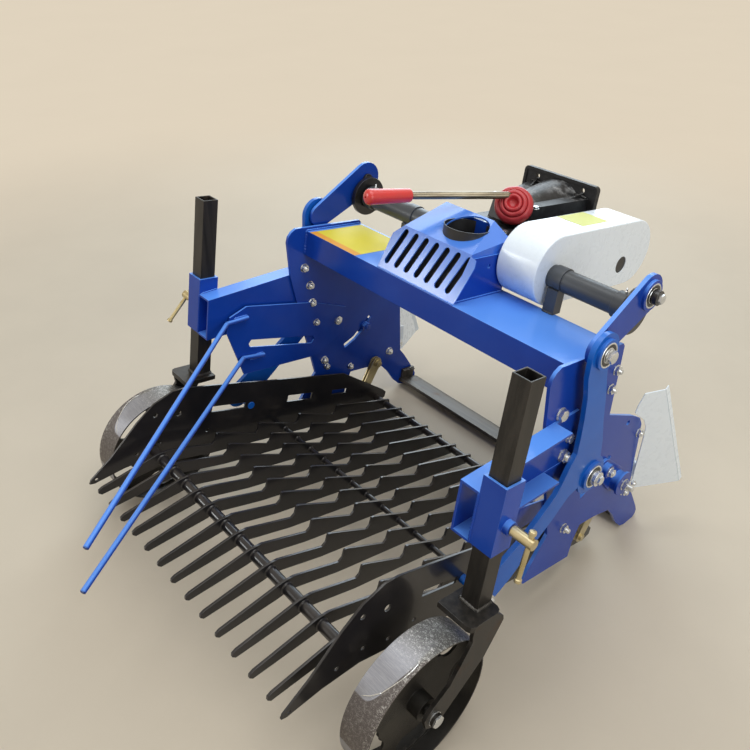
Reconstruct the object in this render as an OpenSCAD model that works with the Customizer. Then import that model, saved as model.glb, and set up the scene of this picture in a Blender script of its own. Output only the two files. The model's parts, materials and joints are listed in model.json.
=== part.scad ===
// Vibrating potato digger for a two-wheel walking tractor, parked on its gauge wheels and nose
// Frame axes: X to the right seen from behind, Y forward to the hitch, Z up. Millimetres.

/* [Frame] */
// Half distance between the outer faces of the side plates
plate_x = 423; // [400:1:450]
// Thickness of the side plates
plate_t = 8; // [6:1:10]
// Rear edge of the cross beam
beam_y0 = -83; // [-100:1:-70]
// Front edge of the cross beam
beam_y1 = 104; // [90:1:120]
// Top of the cross beam
beam_top = 718; // [700:1:730]
// Height of the cross beam
beam_h = 66; // [50:1:80]
// Wall of the cross beam
beam_wall = 5; // [4:1:8]
// Thickness of the rear panels
panel_t = 5; // [4:1:6]

/* [Gauge wheels] */
// Square size of the wheel posts
post_s = 40; // [38:1:42]
// Wall of the wheel posts
post_wall = 4; // [3:0.5:5]
// Distance of each post's middle outside the side plate
post_out = 70; // [64:1:76]
// Posts ahead of the middle
post_y = -336; // [-350:1:-320]
// Top of the posts
post_top = 806; // [790:1:830]
// Top of the post sockets
socket_top = 606; // [590:1:620]
// Length of the post sockets
socket_len = 146; // [120:1:160]
// Outer radius of the gauge wheels
wheel_r = 150; // [140:1:155]
// Width of the gauge wheels
wheel_w = 70; // [60:1:76]
// Thickness of the wheel rims
rim_t = 4; // [4:1:8]
// Distance of the wheels' middle inside the posts' middle
wheel_in = 6; // [4:1:8]
// Wheel centres ahead of the middle
wheel_y = -452; // [-460:1:-445]
// Height of the wheel centres
wheel_z = 150.1; // [150:0.1:160]

/* [Sieve] */
// Number of sieve bars
bar_n = 13; // [9:2:15]
// Thickness of the sieve bars
bar_t = 6; // [5:1:8]
// Thickness of the sieve's sides
sieve_t = 5; // [4:1:6]
// Space between the sieve's sides and its outer bars
edge_gap = 38.7; // [30:0.1:45]
// Running gap between the sieve and the frame's side plates
sieve_gap = 24.5; // [23:0.5:30]

/* [Drive] */
// Throw of the crank pins
throw = 45; // [40:1:46]
// Radius of the crank discs
disc_r = 52; // [50:1:56]
// Radius of the shaft housing tube
tube_r = 26; // [24:1:30]
// Radius of the belt guard's round ends
guard_r = 83; // [78:1:84]
// Number of louvre slots in the hood
louvre_n = 7; // [5:1:7]
// Spacing of the louvre slots
louvre_pitch = 33; // [24:1:34]
// Width of the louvre slots
louvre_w = 16; // [10:1:18]

/* [Hidden] */
$fn = 48;
eps = 0.01;
// Nose-down angle of the parked machine and its height over the floor
tilt = 9;
park_y = 85.9;
park_z = -68.95;
plate_in = plate_x - plate_t;
post_x = plate_x + post_out;
wheel_x = post_x - wheel_in;
sieve_x = plate_in - sieve_gap;
bar_pitch = 2 * (sieve_x - sieve_t - edge_gap - bar_t / 2) / (bar_n - 1);
// Drive points, as [y, z]
S = [118, 794];
J = [118, 794 + throw];
T = [-27, 748];
P = [57, 434];
B = [-240, 252];
H = [229, 256];
G = [192, 170];
// X stations of the drive, from the discs outward
disc_x0 = plate_in - 7;
disc_x1 = disc_x0 + 12;
rod_x0 = disc_x1 + 8.5;
rod_x1 = rod_x0 + 10;
rock_x0 = rod_x1 + 4.5;
rock_x1 = rock_x0 + 11;
// Gearbox middle and height of the hitch flange
gear_x = -40;
flange_z = 837;

// Park: sets a part drawn in the level machine frame on the floor, nose down
module park() translate([0, park_y, park_z]) rotate([-tilt, 0, 0]) children();
// Plate drawn as [y, z] points, between two X stations
module yz_plate(x0, x1) translate([x0, 0, 0]) rotate([90, 0, 90]) linear_extrude(x1 - x0) children();
// Rod or bore along X at a [y, z] point
module x_rod(p, r, x0, x1) translate([x0, p[0], p[1]]) rotate([0, 90, 0]) cylinder(h = x1 - x0, r = r);
// Mirrors for the left side
module side(s) mirror([s < 0 ? 1 : 0, 0, 0]) children();
// Round rod between two points
module bar3(a, b, r) {
  d = b - a;
  l = norm(d);
  translate(a) rotate([0, acos(d[2] / l), atan2(d[1], d[0])]) cylinder(h = l, r = r);
}
// Flat link outline between two round ends
module link(a, b, ra, rb) {
  d = b - a;
  l = norm(d);
  t = atan2(d[1], d[0]);
  s = asin((ra - rb) / l);
  pa = [for (k = [0:12]) a + ra * [cos(t + 90 - s + k * (180 + 2 * s) / 12), sin(t + 90 - s + k * (180 + 2 * s) / 12)]];
  pb = [for (k = [0:12]) b + rb * [cos(t - 90 + s + k * (180 - 2 * s) / 12), sin(t - 90 + s + k * (180 - 2 * s) / 12)]];
  polygon(concat(pa, pb));
}

module cross_beam() color("royalblue") park()
  yz_plate(-plate_in, plate_in) difference() {
    translate([beam_y0, beam_top - beam_h]) square([beam_y1 - beam_y0, beam_h]);
    translate([beam_y0 + beam_wall, beam_top - beam_h + beam_wall])
      square([beam_y1 - beam_y0 - 2 * beam_wall, beam_h - 2 * beam_wall]);
  }

side_pts = [
  [-142, 690], [-140, 706], [-132, 718], [-118, 727], [99, 727], [106, 720], [129, 545],
  [245, 507], [286, 488], [304, 466], [312, 432], [345, 265], [368, 242], [398, 206], [424, 174],
  [434, 158], [434, 146], [428, 138], [414, 132], [384, 131], [362, 137], [334, 160], [300, 200],
  [268, 228], [200, 238], [140, 240], [126, 195], [125, 152], [-50, 160], [-60, 170], [0, 275],
  [-60, 430], [-120, 590]
];
module side_plate(s) color("royalblue") park() side(s) difference() {
  yz_plate(plate_in, plate_x) polygon(side_pts);
  for (p = [[231, 492], [-80, 614], [-55, 560], [-41, 506]]) x_rod(p, 6.5, plate_in - 1, plate_x + 1);
  // Curved adjusting slot
  yz_plate(plate_in - 1, plate_x + 1) slot_arc();
}
module slot_arc() polygon([
  [98, 344], [104, 330], [140, 350], [170, 378], [196, 412], [184, 420], [160, 390], [132, 362]]);
module side_plate_left() side_plate(-1);
module side_plate_right() side_plate(1);

module rear_panel(s) color("royalblue") park() side(s) difference() {
  yz_plate(plate_in - panel_t, plate_in)
    polygon([[-306, 515], [-257, 537], [-40, 507], [85, 470], [85, 395], [0, 335], [-252, 338], [-312, 470]]);
  yz_plate(plate_in - panel_t - 1, plate_in + 1)
    polygon([[-236, 437], [-243, 427], [-238, 416], [-30, 380], [-22, 391], [-28, 402]]);
}
module rear_panel_left() rear_panel(-1);
module rear_panel_right() rear_panel(1);

// Channel arm with its web on the side plate and its flanges outward
arm_x1 = post_x - 26;
module wheel_arm(s) color("royalblue") park() side(s) difference() {
  yz_plate(plate_x, arm_x1) polygon([[-362, 458], [-362, 568], [-20, 608], [-20, 484]]);
  yz_plate(plate_x + 5, arm_x1 + 1) polygon([[-363, 463], [-363, 563], [-19, 603], [-19, 489]]);
  // Flanges cut back at the front, clear of the rocker
  yz_plate(plate_x + 6, arm_x1 + 1) polygon([[-95, 440], [-95, 640], [0, 640], [0, 440]]);
  for (p = [[-55, 560], [-41, 506]]) x_rod(p, 6.5, plate_x - 1, plate_x + 6);
}
module wheel_arm_left() wheel_arm(-1);
module wheel_arm_right() wheel_arm(1);

sock_in = post_s + 1;
module post_socket(s) color("royalblue") park() side(s) difference() {
  union() {
    translate([post_x - 26, post_y - 26, socket_top - socket_len]) cube([52, 52, socket_len]);
    x_rod([post_y, 520], 14, post_x + 25, post_x + 38);
  }
  translate([post_x - sock_in / 2, post_y - sock_in / 2, socket_top - socket_len - 1])
    cube([sock_in, sock_in, socket_len + 2]);
  x_rod([post_y, 520], 8.1, post_x + 20, post_x + 39);
}
module post_socket_left() post_socket(-1);
module post_socket_right() post_socket(1);

module clamp_screw(s, turn) color("darkkhaki") park() side(s) {
  x_rod([post_y, 520], 8, post_x + post_s / 2 + 0.3, post_x + 46);
  x_rod([post_y, 520], 10.5, post_x + 40, post_x + 86);
  translate([post_x + 76, post_y, 520]) rotate([turn, 0, 0]) translate([0, 0, -82]) cylinder(h = 104, r = 5);
}
module clamp_screw_left() clamp_screw(-1, -38);
module clamp_screw_right() clamp_screw(1, -5);

// Blade between the feet, its front edge on the floor
module digging_blade() color("dimgray") park() {
  yz_plate(-plate_in, plate_in) polygon([[360, 150], [362, 160], [420, 154], [447, 143], [440, 139.5], [418, 143]]);
  for (s = [-1, 1]) side(s) translate([plate_in - 8, 366, 157]) cube([8, 50, 34]);
}

// Flared wall, its folded front flange and the tab that holds it to the side plate
module shield(s, tab_x) color("white") park() side(s) {
  translate([plate_x - 4, 252, 509]) rotate([0, 0, -25]) rotate([0, 9.4, 0]) {
    yz_plate(0, 3) polygon([[2, 24], [3, 2], [36, -20], [52, -44], [60, -80], [92, -247], [101, -252], [236, -241], [56, 70], [6, 60]]);
    translate([0, 236, -241]) rotate([30, 0, 0]) rotate([0, 0, 30]) cube([3, 13, 359]);
  }
  yz_plate(tab_x, tab_x + 3) polygon([[290, 296], [290, 346], [352, 346], [360, 296]]);
  translate([tab_x, 342, 300]) cube([max(3, plate_x + 5 - tab_x), 10, 40]);
}
module shield_left() shield(-1, plate_x + 0.3);
module shield_right() shield(1, plate_in - 3.3);

// Adjusting link of the blade's depth, on the outside of the side plate, with its sleeve
adj_a = [165, 395];
adj_b = [238, 337];
module adjuster(s) color("royalblue") park() side(s) difference() {
  union() {
    yz_plate(plate_x + 0.3, plate_x + 8) link(adj_a, adj_b, 24, 32);
    x_rod(adj_a, 17, plate_x + 7, plate_x + 22);
    x_rod(adj_b, 26, plate_x + 7, plate_x + 24);
    x_rod(adj_b, 31, plate_x + 24 - eps, plate_x + 30);
  }
  x_rod(adj_b, 8.5, plate_x - 1, plate_x + 31);
}
module adjuster_left() adjuster(-1);
module adjuster_right() adjuster(1);

module guide_rods() color("royalblue") park()
  for (g = [[-255, 508, -318, 503, -857, 343], [-196, 387, -262, 392, -865, 242]]) let (x = panel_t + 6 - plate_in) {
    bar3([x, g[0], g[1]], [x, g[2], g[3]], 6);
    bar3([x, g[2], g[3]], [0, g[4], g[5]], 6);
    translate([x, g[2], g[3]]) sphere(r = 6.3);
  }

module gearbox_housing() color("#222222") park() {
  translate([gear_x - 75, 150, 722]) cube([150, 240, 106]);
  // Bell that widens to the flange, round below and flat on top
  translate([gear_x, 300, flange_z]) rotate([-90, 0, 0]) cylinder(h = 147, r1 = 52, r2 = 82);
  intersection() {
    yz_plate(gear_x - 100, gear_x + 100) polygon([[236, 800], [236, 828], [250, 873.4], [447, 893], [447, 800]]);
    translate([0, 0, 790]) linear_extrude(120)
      polygon([[gear_x - 50, 236], [gear_x + 50, 236], [gear_x + 96, 447], [gear_x - 90, 447]]);
  }
  x_rod([400, 775], 44, gear_x + 60, 102);
  translate([gear_x - 60, 104, 660]) cube([120, 60, 63]);
  // Turret under the lever boot
  translate(boot_at) rotate(boot_tilt) translate([0, 0, -50]) cylinder(h = 49.9, r = 42);
}

module hitch_flange() color("#1c1c1c") park() difference() {
  translate([gear_x, 460, flange_z]) rotate([90, 0, 0]) linear_extrude(16) {
    square([232, 184 - 24], center = true);
    square([232 - 24, 184], center = true);
    for (x = [-104, 104], z = [-80, 80]) translate([x, z]) circle(12);
  }
  // Recess inside the raised rim of its rear face
  translate([gear_x - 107, 443, flange_z - 83]) cube([214, 4, 166]);
  for (x = [-72, 72], z = [-72, 72])
    translate([gear_x + x, 440, flange_z + z]) rotate([-90, 0, 0]) cylinder(h = 24, r = 6.5);
  translate([gear_x, 448, flange_z]) rotate([-90, 0, 0]) cylinder(h = 24, r = 40);
}

// Cuts away what lies over a plane, given by a point and its normal
module over_plane(p, n) translate(p) rotate([0, acos(n[2] / norm(n)), atan2(n[1], n[0])])
  translate([-300, -300, 0]) cube([600, 600, 200]);
// Hood outline, or its hollow when taken in by d, with its two top corners folded down
hood_rise = atan2(105.8, 47);
module hood_shape(d) difference() {
  yz_plate(-140 + d, 96 - d) polygon([[-80 + 1.2 * d, 718.2 - sign(d)], [-33 + 0.7 * d, 824 - d], [95 + sign(d), 870 - d],
    [95 + sign(d), 718.2 - sign(d)]]);
  over_plane([-140 + 0.64 * d, -44 + 0.24 * d, 799 - 0.73 * d], [-0.64, -0.24, 0.73]);
  over_plane([96 - 0.44 * d, -33 + 0.13 * d, 824 - 0.89 * d], [0.44, -0.13, 0.89]);
}
module gearbox_hood() color("#5b8ff0") park() difference() {
  hood_shape(0);
  hood_shape(3);
  translate([11, 38, 780]) cylinder(h = 100, r = 51);
  x_rod(S, tube_r + 1, -145, 101);
  // Louvre slots up the sloped face, leaning to the right
  translate([0, -80, 718.2]) rotate([hood_rise, 0, 0]) for (k = [0:louvre_n - 1])
    translate([-121 + k * louvre_pitch, 16.5 + louvre_w / 2, -8]) rotate([0, 0, -13]) linear_extrude(12) {
      translate([-louvre_w / 2, 0]) square([louvre_w, 95 - louvre_w]);
      circle(louvre_w / 2);
      translate([0, 95 - louvre_w]) circle(louvre_w / 2);
    }
}

module hood_bracket() color("royalblue") park() difference() {
  yz_plate(96.2, 100) polygon([[-75, 718.2], [-30, 815], [95, 815], [95, 718.2]]);
  x_rod([29, 790], 5, 95, 101);
  x_rod(S, tube_r + 1, 95, 101);
}

// Belt guard: closed box with round ends and a slot for the shaft housing
module guard_shape(r) {
  for (y = [132, 445]) translate([y, 802]) circle(r);
  translate([132, 802 - r]) square([313, 2 * r]);
}
module belt_guard() color("white") park() difference() {
  yz_plate(103, 210) guard_shape(guard_r);
  yz_plate(105, 208) guard_shape(guard_r - 2);
  x_rod(S, tube_r + 1, 100, 215);
  x_rod([400, 775], 46, 100, 106);
  x_rod([408, 775], 22, 206, 212);
}

// Bellows boot tilted toward the lever
boot_at = [-8, 226, 876];
boot_tilt = [60, 0, 27];
lever_a = [-14, 200, 905];
lever_b = [-132, -14, 889.5];
lever_c = [-155, -134, 889];
lever_tip = lever_b + 0.1 * (lever_c - lever_b);
module lever_boot() color("crimson") park() difference() {
  translate(boot_at) rotate(boot_tilt) {
    cylinder(h = 26, r = 47);
    translate([0, 0, 25]) cylinder(h = 14, r1 = 42, r2 = 33);
    translate([0, 0, 38]) cylinder(h = 11, r1 = 27, r2 = 19);
  }
  bar3(lever_a - 0.02 * (lever_tip - lever_a), lever_tip, 9.05);
}
module lever_rod() color("#a49a80") park() bar3(lever_a, lever_tip, 9);
module lever_grip() color("firebrick") park() difference() {
  bar3(lever_b, lever_c, 19);
  bar3(lever_a, lever_tip, 9.01);
}

// Shaft housing: tube with bearing ends on two legs
module shaft_housing() color("#1e1e1e") park() difference() {
  union() {
    x_rod(S, tube_r, 32 - disc_x0, disc_x0 - 32);
    for (s = [-1, 1]) side(s) {
      x_rod(S, tube_r + 4, disc_x0 - 33, disc_x0 - 5);
      x_rod(S, tube_r + 3, 219, 248);
      translate([219, 92, beam_top + 0.2]) cube([29, 28, S[1] - beam_top - 20]);
    }
  }
  x_rod(S, 15.08, 4 - disc_x0, disc_x0 - 4);
}

module eccentric_shaft() color("silver") park() x_rod(S, 15, -disc_x0 - 4, disc_x0 + 4);
module crank_discs() color("#202020") park() for (s = [-1, 1]) side(s) {
  difference() { x_rod(S, disc_r, disc_x0, disc_x1); x_rod(S, 15.01, disc_x0 - 1, disc_x0 + 4); }
  x_rod(J, 14, disc_x1 - eps, rod_x0 - 1);
  x_rod(J, 10, disc_x1 - eps, rod_x1 + 9);
  x_rod(J, 16, rod_x1 + 8, rod_x1 + 22);
}

module conrod(s) color("royalblue") park() side(s) difference() {
  union() {
    yz_plate(rod_x0, rod_x1) link(J, T, 44, 32);
    x_rod(J, 33, rod_x1 - eps, rod_x1 + 7);
  }
  x_rod(J, 10.08, rod_x0 - 1, rod_x1 + 8);
}
module conrod_left() conrod(-1);
module conrod_right() conrod(1);

rocker_pts = [
  [17, 748], [-71, 745], [-66, 702], [-48, 653], [-38, 604], [-31, 554], [-28, 516], [-42, 490],
  [-54, 457], [-68, 430], [-106, 393], [-142, 361], [-182, 337], [-214, 317], [-257, 281], [-240, 252],
  [-222, 223], [-165, 262], [-132, 294], [-97, 329], [-57, 364], [-16, 406], [57, 434], [76, 476],
  [64, 521], [42, 578], [26, 631], [12, 669], [-2, 707]
];
module rocker(s) color("#3f74d8") park() side(s) difference() {
  union() {
    yz_plate(rock_x0, rock_x1) {
      polygon(rocker_pts);
      translate(T) circle(44);
      translate(P) circle(46);
      translate(B) circle(34);
    }
    x_rod(T, 33, rock_x1 - eps, rock_x1 + 7);
    x_rod(P, 34, rock_x1 - eps, rock_x1 + 7);
    x_rod(B, 10, sieve_x - sieve_t - 2, rock_x0 + eps);
  }
  x_rod(P, 12.08, rock_x0 - 1, rock_x1 + 8);
}
module rocker_left() rocker(-1);
module rocker_right() rocker(1);

// Pivot studs of the rockers on the side plates
module rocker_pivots() color("silver") park() for (s = [-1, 1]) side(s) {
  x_rod(P, 22, plate_x, rock_x0 - 1);
  x_rod(P, 12, rock_x0 - 2, rock_x1 + 9);
  x_rod(P, 17, rock_x1 + 8, rock_x1 + 20);
}

bar_pts = [
  [250, 148], [40, 191], [33, 191], [30, 172], [23, 165], [-98, 205], [-105, 205], [-108, 186], [-115, 179],
  [-234, 219], [-241, 219], [-244, 199], [-251, 191], [-365, 231], [-372, 231], [-375, 211], [-384, 203],
  [-505, 228], [-535, 226], [-676, 184], [-684, 178], [-684, 170], [-676, 164], [-540, 188], [-510, 196],
  [-384, 176], [23, 140], [240, 122], [256, 128]
];
module sieve_bars() color("#17171a") park()
  for (k = [0:bar_n - 1]) let (x = (k - (bar_n - 1) / 2) * bar_pitch)
    yz_plate(x - bar_t / 2, x + bar_t / 2) polygon(bar_pts);

sieve_side_pts = [
  [-683, 178], [-631, 226], [-568, 300], [-524, 340], [-474, 362], [-440, 362], [-300, 336], [-212, 318],
  [87, 262], [262, 158], [276, 146], [274, 128], [252, 120], [23, 136], [-384, 172], [-510, 190],
  [-600, 182], [-674, 166], [-686, 168]
];
// Holes of the sieve's sides, as [y, z, radius], and slots, as [y, z, length, height, angle]
sieve_holes = [[-669, 176, 4], [-568, 212, 5], [-520, 308, 6], [-507, 225, 5], [-457, 294, 8], [-441, 208, 5], [-372, 216, 5]];
sieve_slots = [[-362, 268, 104, 16, -10], [-118, 226, 88, 20, -10], [46, 202, 60, 14, -9]];
module sieve_sides() color("#17171a") park() for (s = [-1, 1]) side(s) difference() {
  yz_plate(sieve_x - sieve_t, sieve_x) polygon(sieve_side_pts);
  for (h = sieve_holes) x_rod([h[0], h[1]], h[2], sieve_x - sieve_t - 1, sieve_x + 1);
  for (q = sieve_slots)
    yz_plate(sieve_x - sieve_t - 1, sieve_x + 1) translate([q[0], q[1]]) rotate(q[4]) square([q[2], q[3]]);
  x_rod(B, 10.08, sieve_x - sieve_t - 3, sieve_x + 1);
}

module sieve_rods() color("#202024") park() {
  for (p = [[-522, 206, 13], [-150, 172, 7], [236, 136, 10]])
    for (k = [0:bar_n]) let (x = (k - bar_n / 2) * bar_pitch, e = k == 0 || k == bar_n)
      x_rod([p[0], p[1]], p[2],
        k == 0 ? -sieve_x + sieve_t : x - bar_pitch / 2 + bar_t / 2,
        k == bar_n ? sieve_x - sieve_t : x + bar_pitch / 2 - bar_t / 2);
}

// Hanger: two strips joined by their foot pin
hang_x = sieve_x + 5.5;
module hanger(s) color("darkkhaki") park() side(s) {
  for (x = [hang_x, hang_x + 9.5]) difference() {
    yz_plate(x, x + 3.5) link(H, G, 18, 15);
    x_rod(H, 8.08, x - 1, x + 5);
  }
  x_rod(G, 8, hang_x + eps, hang_x + 13 - eps);
}
module hanger_left() hanger(-1);
module hanger_right() hanger(1);
module hanger_pivots() color("darkkhaki") park() for (s = [-1, 1]) side(s) {
  x_rod(H, 8, hang_x - 4, plate_in);
  x_rod(H, 13, hang_x + 14, plate_in);
  x_rod(H, 12, hang_x + 4.5, hang_x + 8.5);
  x_rod(H, 13, hang_x - 4.5, hang_x - 1);
}

module post(s) color("#2a2622") park() side(s) difference() {
  translate([post_x - post_s / 2, post_y - post_s / 2, 330]) cube([post_s, post_s, post_top - 330]);
  translate([post_x - post_s / 2 + post_wall, post_y - post_s / 2 + post_wall, 329])
    cube([post_s - 2 * post_wall, post_s - 2 * post_wall, post_top - 328]);
}
module post_left() post(-1);
module post_right() post(1);

fork_x = wheel_x + wheel_w / 2 + 8;
module wheel_fork(s) color("#1d1d20") park() side(s) {
  // Crown over the wheel, its outer corners rounded
  translate([0, 0, 318]) linear_extrude(12) polygon([[wheel_x - 32, -398], [fork_x - 4, -398], [fork_x + 4, -395],
    [fork_x + 8, -386], [fork_x + 8, -326], [fork_x + 4, -316], [fork_x - 4, -312], [wheel_x - 32, -312]]);
  yz_plate(fork_x, fork_x + 8)
    polygon([[-386, 329.9], [-326, 329.9], [-304, 312], [-300, 300], [-336, 228], [-430, 132], [-448, 124], [-470, 134],
      [-478, 156], [-470, 172], [-424, 212], [-384, 290], [-388, 306]]);
  x_rod([wheel_y, wheel_z], 10, wheel_x - wheel_w / 2 - 1, fork_x + 1);
  x_rod([wheel_y, wheel_z], 14, fork_x + 7, fork_x + 17);
}
module wheel_fork_left() wheel_fork(-1);
module wheel_fork_right() wheel_fork(1);

// Web of a wheel, with five rounded openings near its rim
module wheel_web() difference() {
  cylinder(h = 6, r = wheel_r - rim_t + 1, center = true, $fn = 96);
  for (a = [8:72:296], b = [-11, 0, 11]) rotate([0, 0, a + b])
    translate([wheel_r - 34, 0, -4]) cylinder(h = 8, r = 24);
}
module wheel(s) color("gray") park() side(s) translate([wheel_x, wheel_y, wheel_z]) rotate([0, 90, 0]) {
  difference() {
    cylinder(h = wheel_w, r = wheel_r, center = true, $fn = 96);
    cylinder(h = wheel_w + 2, r = wheel_r - rim_t, center = true, $fn = 96);
  }
  difference() {
    union() {
      cylinder(h = 62, r = 24, center = true);
      wheel_web();
    }
    cylinder(h = 64, r = 10.08, center = true);
  }
}
module wheel_left() wheel(-1);
module wheel_right() wheel(1);

cross_beam();
side_plate_left();
side_plate_right();
rear_panel_left();
rear_panel_right();
wheel_arm_left();
wheel_arm_right();
post_socket_left();
post_socket_right();
clamp_screw_left();
clamp_screw_right();
digging_blade();
shield_left();
shield_right();
adjuster_left();
adjuster_right();
guide_rods();
gearbox_housing();
hitch_flange();
gearbox_hood();
hood_bracket();
belt_guard();
lever_boot();
lever_rod();
lever_grip();
shaft_housing();
eccentric_shaft();
crank_discs();
conrod_left();
conrod_right();
rocker_left();
rocker_right();
rocker_pivots();
sieve_bars();
sieve_sides();
sieve_rods();
hanger_left();
hanger_right();
hanger_pivots();
post_left();
post_right();
wheel_fork_left();
wheel_fork_right();
wheel_left();
wheel_right();
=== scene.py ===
"""Looks of a parked potato digger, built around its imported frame.

Pieces are drawn in the level machine frame, in millimetres (X right seen from behind, Y forward,
Z up), and PARK sets them on the floor, nose down, as the frame's own solids stand.
"""

import json
import logging
import math
import random
from dataclasses import dataclass, field
from enum import Enum
from typing import Any, Callable, Optional, Sequence, Union

import bmesh
import bpy
from mathutils import Matrix, Vector

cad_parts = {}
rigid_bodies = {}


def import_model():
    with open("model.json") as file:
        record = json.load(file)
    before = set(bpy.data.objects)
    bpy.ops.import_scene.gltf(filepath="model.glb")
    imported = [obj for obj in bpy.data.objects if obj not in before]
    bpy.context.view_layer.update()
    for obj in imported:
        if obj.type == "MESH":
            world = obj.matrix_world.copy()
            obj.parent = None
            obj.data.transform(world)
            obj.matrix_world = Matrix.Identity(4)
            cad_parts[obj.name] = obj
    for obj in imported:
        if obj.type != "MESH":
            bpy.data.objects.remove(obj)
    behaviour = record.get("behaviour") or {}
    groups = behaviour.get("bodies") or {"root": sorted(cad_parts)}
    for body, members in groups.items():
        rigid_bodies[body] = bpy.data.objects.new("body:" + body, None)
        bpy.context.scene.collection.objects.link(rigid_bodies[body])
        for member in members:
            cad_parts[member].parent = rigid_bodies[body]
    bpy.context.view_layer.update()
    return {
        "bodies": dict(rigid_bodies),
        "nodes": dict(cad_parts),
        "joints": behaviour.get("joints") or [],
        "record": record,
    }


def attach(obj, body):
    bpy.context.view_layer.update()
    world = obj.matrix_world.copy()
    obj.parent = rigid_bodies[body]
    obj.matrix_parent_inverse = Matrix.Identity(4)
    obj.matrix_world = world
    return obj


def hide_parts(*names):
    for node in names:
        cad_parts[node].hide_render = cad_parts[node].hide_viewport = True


log = logging.getLogger("digger")

PARKED_AT = (0.0, 0.0859, -0.06895)
NOSE_DOWN = math.radians(9.0)
MILLIMETRE = 0.001
PARK = (
    Matrix.Translation(PARKED_AT)
    @ Matrix.Rotation(-NOSE_DOWN, 4, "X")
    @ Matrix.Scale(MILLIMETRE, 4)
)
Point = Sequence[float]
Number = Union[float, "Wire"]
Colour = Union[Point, "Wire"]
Rows = tuple[tuple[Any, ...], ...]
X_AXIS, Y_AXIS, Z_AXIS = Vector((1, 0, 0)), Vector((0, 1, 0)), Vector((0, 0, 1))


class Side(Enum):
    """The two sides of the machine; the value is the sign of X."""

    LEFT = -1
    RIGHT = 1

    @property
    def tag(self) -> str:
        """The word that ends this side's names."""
        return self.name.lower()


class Fastener(Enum):
    """Thread sizes in use: thread radius, half the width across flats, head height, washer radius."""

    M8 = (4.0, 6.5, 5.3, 8.0)
    M10 = (5.0, 8.0, 6.4, 10.0)
    M12 = (6.0, 9.5, 7.5, 12.0)
    M16 = (8.0, 12.0, 10.0, 15.0)


# ---- shader maths ----


class Wire:
    """A shader socket that works in Python expressions."""

    def __init__(self, graph: "Graph", socket: bpy.types.NodeSocket) -> None:
        """Keeps the socket and the graph that it belongs to."""
        self.graph, self.socket = graph, socket

    def _math(self, operation: str, first: Number, second: Number) -> "Wire":
        """One Math node on two values."""
        return self.graph.node("ShaderNodeMath", {"operation": operation}, {0: first, 1: second})

    def __add__(self, other: Number) -> "Wire":
        """Sum."""
        return self._math("ADD", self, other)

    def __mul__(self, other: Number) -> "Wire":
        """Product."""
        return self._math("MULTIPLY", self, other)

    def __sub__(self, other: Number) -> "Wire":
        """Difference."""
        return self._math("SUBTRACT", self, other)

    def __rsub__(self, other: Number) -> "Wire":
        """Difference, reflected."""
        return self._math("SUBTRACT", other, self)

    def __truediv__(self, other: Number) -> "Wire":
        """Quotient."""
        return self._math("DIVIDE", self, other)

    def __rtruediv__(self, other: Number) -> "Wire":
        """Quotient, reflected."""
        return self._math("DIVIDE", other, self)

    def __pow__(self, other: Number) -> "Wire":
        """Power."""
        return self._math("POWER", self, other)

    def __rpow__(self, other: Number) -> "Wire":
        """Power, reflected."""
        return self._math("POWER", other, self)

    __radd__, __rmul__ = __add__, __mul__

    def most(self, other: Number) -> "Wire":
        """The greater of two values."""
        return self._math("MAXIMUM", self, other)

    def least(self, other: Number) -> "Wire":
        """The smaller of two values."""
        return self._math("MINIMUM", self, other)

    def rise(self, low: float, high: float) -> "Wire":
        """A smooth step.

        Args:
            low: Value at which the result is 0.
            high: Value at which the result is 1.

        Returns:
            The stepped value.
        """
        return self.graph.node(
            "ShaderNodeMapRange",
            {"interpolation_type": "SMOOTHSTEP"},
            {"Value": self, "From Min": low, "From Max": high},
        )


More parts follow.
